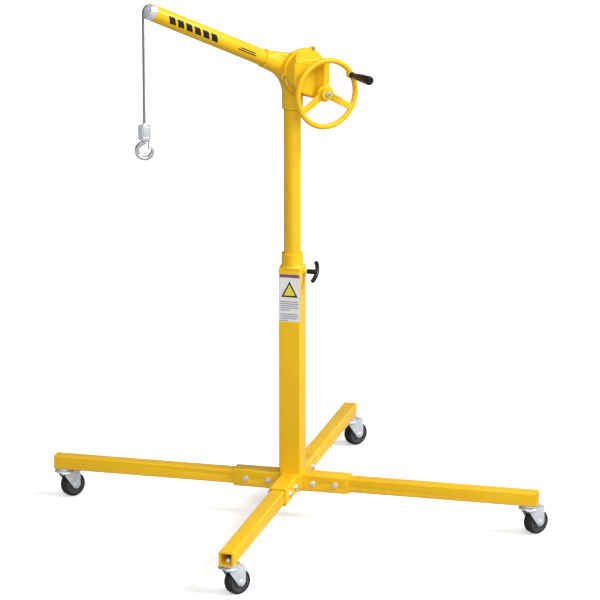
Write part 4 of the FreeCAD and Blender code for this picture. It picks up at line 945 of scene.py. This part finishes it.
# ------------------------------------------------------------------ hook
class HOIST_OT_hook(bpy.types.Operator):
    """Finish the hook block: the turned barrel, the forged hook and its spring latch"""
    bl_idname = "hoist.hook"
    bl_label = "Hook block"

    def execute(self, context):
        machined("swivel_barrel", "zinc_steel", 0.0005)
        cast("hook", "forged_hook", 0.0008, 6)
        machined("hook_latch", "machined_steel", 0.0003)
        return {"FINISHED"}


# ------------------------------------------------------------------ labels
def printed(work, spot, corners, lift, index):
    """A thin printed patch on the column's front face, from its corners across and up the label."""
    low = [work.verts.new(spot + RIGHT * u + UP * v) for u, v in corners]
    high = [work.verts.new(vertex.co + FRONT * lift) for vertex in low]
    faces = [low[::-1], high]
    for first in range(len(corners)):
        second = (first + 1) % len(corners)
        faces.append([low[first], low[second], high[second], high[first]])
    for corners_of_face in faces:
        work.faces.new(corners_of_face).material_index = index


def upright(half_width, low, high):
    """The corners of an upright rectangle centred on the label."""
    return [(-half_width, low), (half_width, low), (half_width, high), (-half_width, high)]


def triangle(half_width, low, high):
    """The corners of a triangle that stands on its base."""
    return [(-half_width, low), (half_width, low), (0.0, high)]


def make_column_label():
    """A plain data label: a maroon heading, a plain yellow triangle and lines of blue-grey bars."""
    width, height = bpy.context.scene.hoist_labels.size
    top_margin = 0.0145
    spot = FRONT * column_face() + UP * (COLUMN_TOP - top_margin - height)
    half = width / 2
    film = 0.00025
    work = bmesh.new()
    patches = [(upright(half, 0.0, height), film, 0),
               (upright(half - 0.001, height * 0.925, height - 0.001), film * 1.6, 1),
               (triangle(half * 0.80, height * 0.515, height * 0.85), film * 1.6, 4),
               (triangle(half * 0.56, height * 0.55, height * 0.785), film * 2.2, 2)]
    shares = (0.96, 1.0, 0.92, 0.98, 0.5, 0.0, 0.94, 1.0, 0.88, 0.4)
    step = height * 0.44 / len(shares)
    start = half * -0.9
    for row, share in enumerate(shares):
        if share:
            low = height * 0.455 - (row + 1) * step
            end = start - 2 * start * share
            line = [(start, low), (end, low), (end, low + step * 0.42), (start, low + step * 0.42)]
            patches.append((line, film * 1.6, 3))
    for corners, lift, index in patches:
        printed(work, spot, corners, lift, index)
    mesh = bpy.data.meshes.new("column label")
    bmesh.ops.recalc_face_normals(work, faces=work.faces)
    work.to_mesh(mesh)
    work.free()
    for finish in ("white_film", "maroon_film", "yellow_film", "grey_film", "dark_film"):
        mesh.materials.append(FINISHES[finish])
    new_piece("column_label", mesh, None, "base")


def make_boom_stripes():
    """A row of plain blocks along the boom's side, and two thin bars nearer the mast."""
    label = bpy.context.scene.hoist_labels
    axis, start = boom_axis()
    radius = tube_radius("boom_tube", axis, start)
    side = Vector((0.0, -1.0, 0.0))
    upward = side.cross(axis).normalized()
    if upward.z < 0:
        upward = -upward
    pitch = label.block_row / label.blocks
    block_share = 0.72
    block_half = 0.0115
    thin_half = 0.0016
    thin_offset = 0.0035
    bars = [(label.block_start + pitch * block, pitch * block_share, 0.0, block_half)
            for block in range(label.blocks)]
    bars += [(0.180, 0.062, thin_offset, thin_half), (0.175, 0.075, -thin_offset, thin_half)]
    film_thickness = 0.0003
    block_slant = 0.6
    steps = 8
    parts = 6
    work = bmesh.new()
    skin = radius + film_thickness
    for reach, length, middle, half in bars:
        rows = []
        for step in range(steps + 1):
            along = reach + length * step / steps
            row = []
            for part in range(parts + 1):
                across = half * (2 * part / parts - 1)
                turn = (middle + across) / radius
                spot = start + axis * (along + across * block_slant)
                row.append(work.verts.new(spot + (side * math.cos(turn) + upward * math.sin(turn)) * skin))
            rows.append(row)
        for near, far in zip(rows, rows[1:]):
            for part in range(parts):
                work.faces.new([near[part], far[part], far[part + 1], near[part + 1]])
    bmesh.ops.recalc_face_normals(work, faces=work.faces)
    mesh = bpy.data.meshes.new("boom stripes")
    work.to_mesh(mesh)
    work.free()
    shape = bpy.data.objects.new("stripe work", mesh)
    bpy.context.scene.collection.objects.link(shape)
    film = shape.modifiers.new("film", "SOLIDIFY")
    film.thickness = film_thickness
    film.offset = 0.0
    finished = settled(shape)
    bpy.data.objects.remove(shape)
    finished.shade_smooth()
    new_piece("boom_stripes", finished, "dark_film", "mast_head")


def boom_axis():
    """The boom's direction and the point of its axis above the mast, from the tube's own shape."""
    low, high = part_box("boom_tube")
    vertices = [vertex.co.copy() for vertex in frame["nodes"]["boom_tube"].data.vertices]
    middle = sum(vertices, Vector()) / len(vertices)
    near = [v for v in vertices if v.x > middle.x]
    far = [v for v in vertices if v.x <= middle.x]
    axis = (sum(far, Vector()) / len(far) - sum(near, Vector()) / len(near)).normalized()
    start = middle - axis * (middle.x / axis.x)
    return axis, start


def tube_radius(node, axis, start):
    """The outer radius of a tube about its axis."""
    reach = 0.0
    for vertex in frame["nodes"][node].data.vertices:
        spoke = vertex.co - start
        reach = max(reach, (spoke - axis * spoke.dot(axis)).length)
    return reach


class HOIST_OT_labels(bpy.types.Operator):
    """Stick the column's plain label and the boom's plain stripes"""
    bl_idname = "hoist.labels"
    bl_label = "Labels"

    def execute(self, context):
        make_column_label()
        make_boom_stripes()
        return {"FINISHED"}


# ------------------------------------------------------------------ hidden works
class HOIST_OT_inner_parts(bpy.types.Operator):
    """Give the pieces inside the housing and the column their finishes"""
    bl_idname = "hoist.inner_parts"
    bl_label = "Inner parts"

    def execute(self, context):
        slots = {row["node"]: row["material_slot"] for row in frame["record"]["subparts"]}
        for name, node in frame["nodes"].items():
            if node.hide_render:
                continue
            node.data.materials.clear()
            node.data.materials.append(FINISHES[slots[name]])
        return {"FINISHED"}


class HOIST_OT_finishes(bpy.types.Operator):
    """Mix the paints, platings, rubber, plastics and printed films"""
    bl_idname = "hoist.finishes"
    bl_label = "Finishes"

    def execute(self, context):
        FINISHES.update(make_finishes())
        return {"FINISHED"}


# ------------------------------------------------------------------ panel and run
STEPS = (HOIST_OT_finishes, HOIST_OT_stage, HOIST_OT_rope, HOIST_OT_base_frame, HOIST_OT_mast_and_boom,
         HOIST_OT_weld_beads, HOIST_OT_castings, HOIST_OT_hand_grip, HOIST_OT_mast_clamp, HOIST_OT_casters,
         HOIST_OT_fasteners, HOIST_OT_hook, HOIST_OT_labels, HOIST_OT_inner_parts)
SETTINGS = {"hoist_paint": HoistPaintSettings, "hoist_rope": HoistRopeSettings,
            "hoist_beads": HoistBeadSettings, "hoist_labels": HoistLabelSettings,
            "hoist_stage": HoistStageSettings}


class HOIST_PT_panel(bpy.types.Panel):
    """Settings and steps, in the order that they are run"""
    bl_label = "Hoist crane"
    bl_idname = "HOIST_PT_panel"
    bl_space_type = "VIEW_3D"
    bl_region_type = "UI"
    bl_category = "Hoist"

    def draw(self, context):
        for name, group in SETTINGS.items():
            box = self.layout.box()
            for field in group.__annotations__:
                box.prop(getattr(context.scene, name), field)
        for step in STEPS:
            self.layout.operator(step.bl_idname)


def register():
    for group in SETTINGS.values():
        bpy.utils.register_class(group)
    for name, group in SETTINGS.items():
        setattr(bpy.types.Scene, name, PointerProperty(type=group))
    for step in STEPS:
        bpy.utils.register_class(step)
    bpy.utils.register_class(HOIST_PT_panel)


def unregister():
    bpy.utils.unregister_class(HOIST_PT_panel)
    for step in reversed(STEPS):
        bpy.utils.unregister_class(step)
    for name, group in SETTINGS.items():
        delattr(bpy.types.Scene, name)
        bpy.utils.unregister_class(group)


def main():
    register()
    bpy.ops.hoist.finishes()
    bpy.ops.hoist.stage()
    bpy.ops.hoist.rope()
    bpy.ops.hoist.base_frame()
    bpy.ops.hoist.mast_and_boom()
    bpy.ops.hoist.weld_beads()
    bpy.ops.hoist.castings()
    bpy.ops.hoist.hand_grip()
    bpy.ops.hoist.mast_clamp()
    bpy.ops.hoist.casters()
    bpy.ops.hoist.fasteners()
    bpy.ops.hoist.hook()
    bpy.ops.hoist.labels()
    bpy.ops.hoist.inner_parts()


if __name__ == "__main__":
    main()
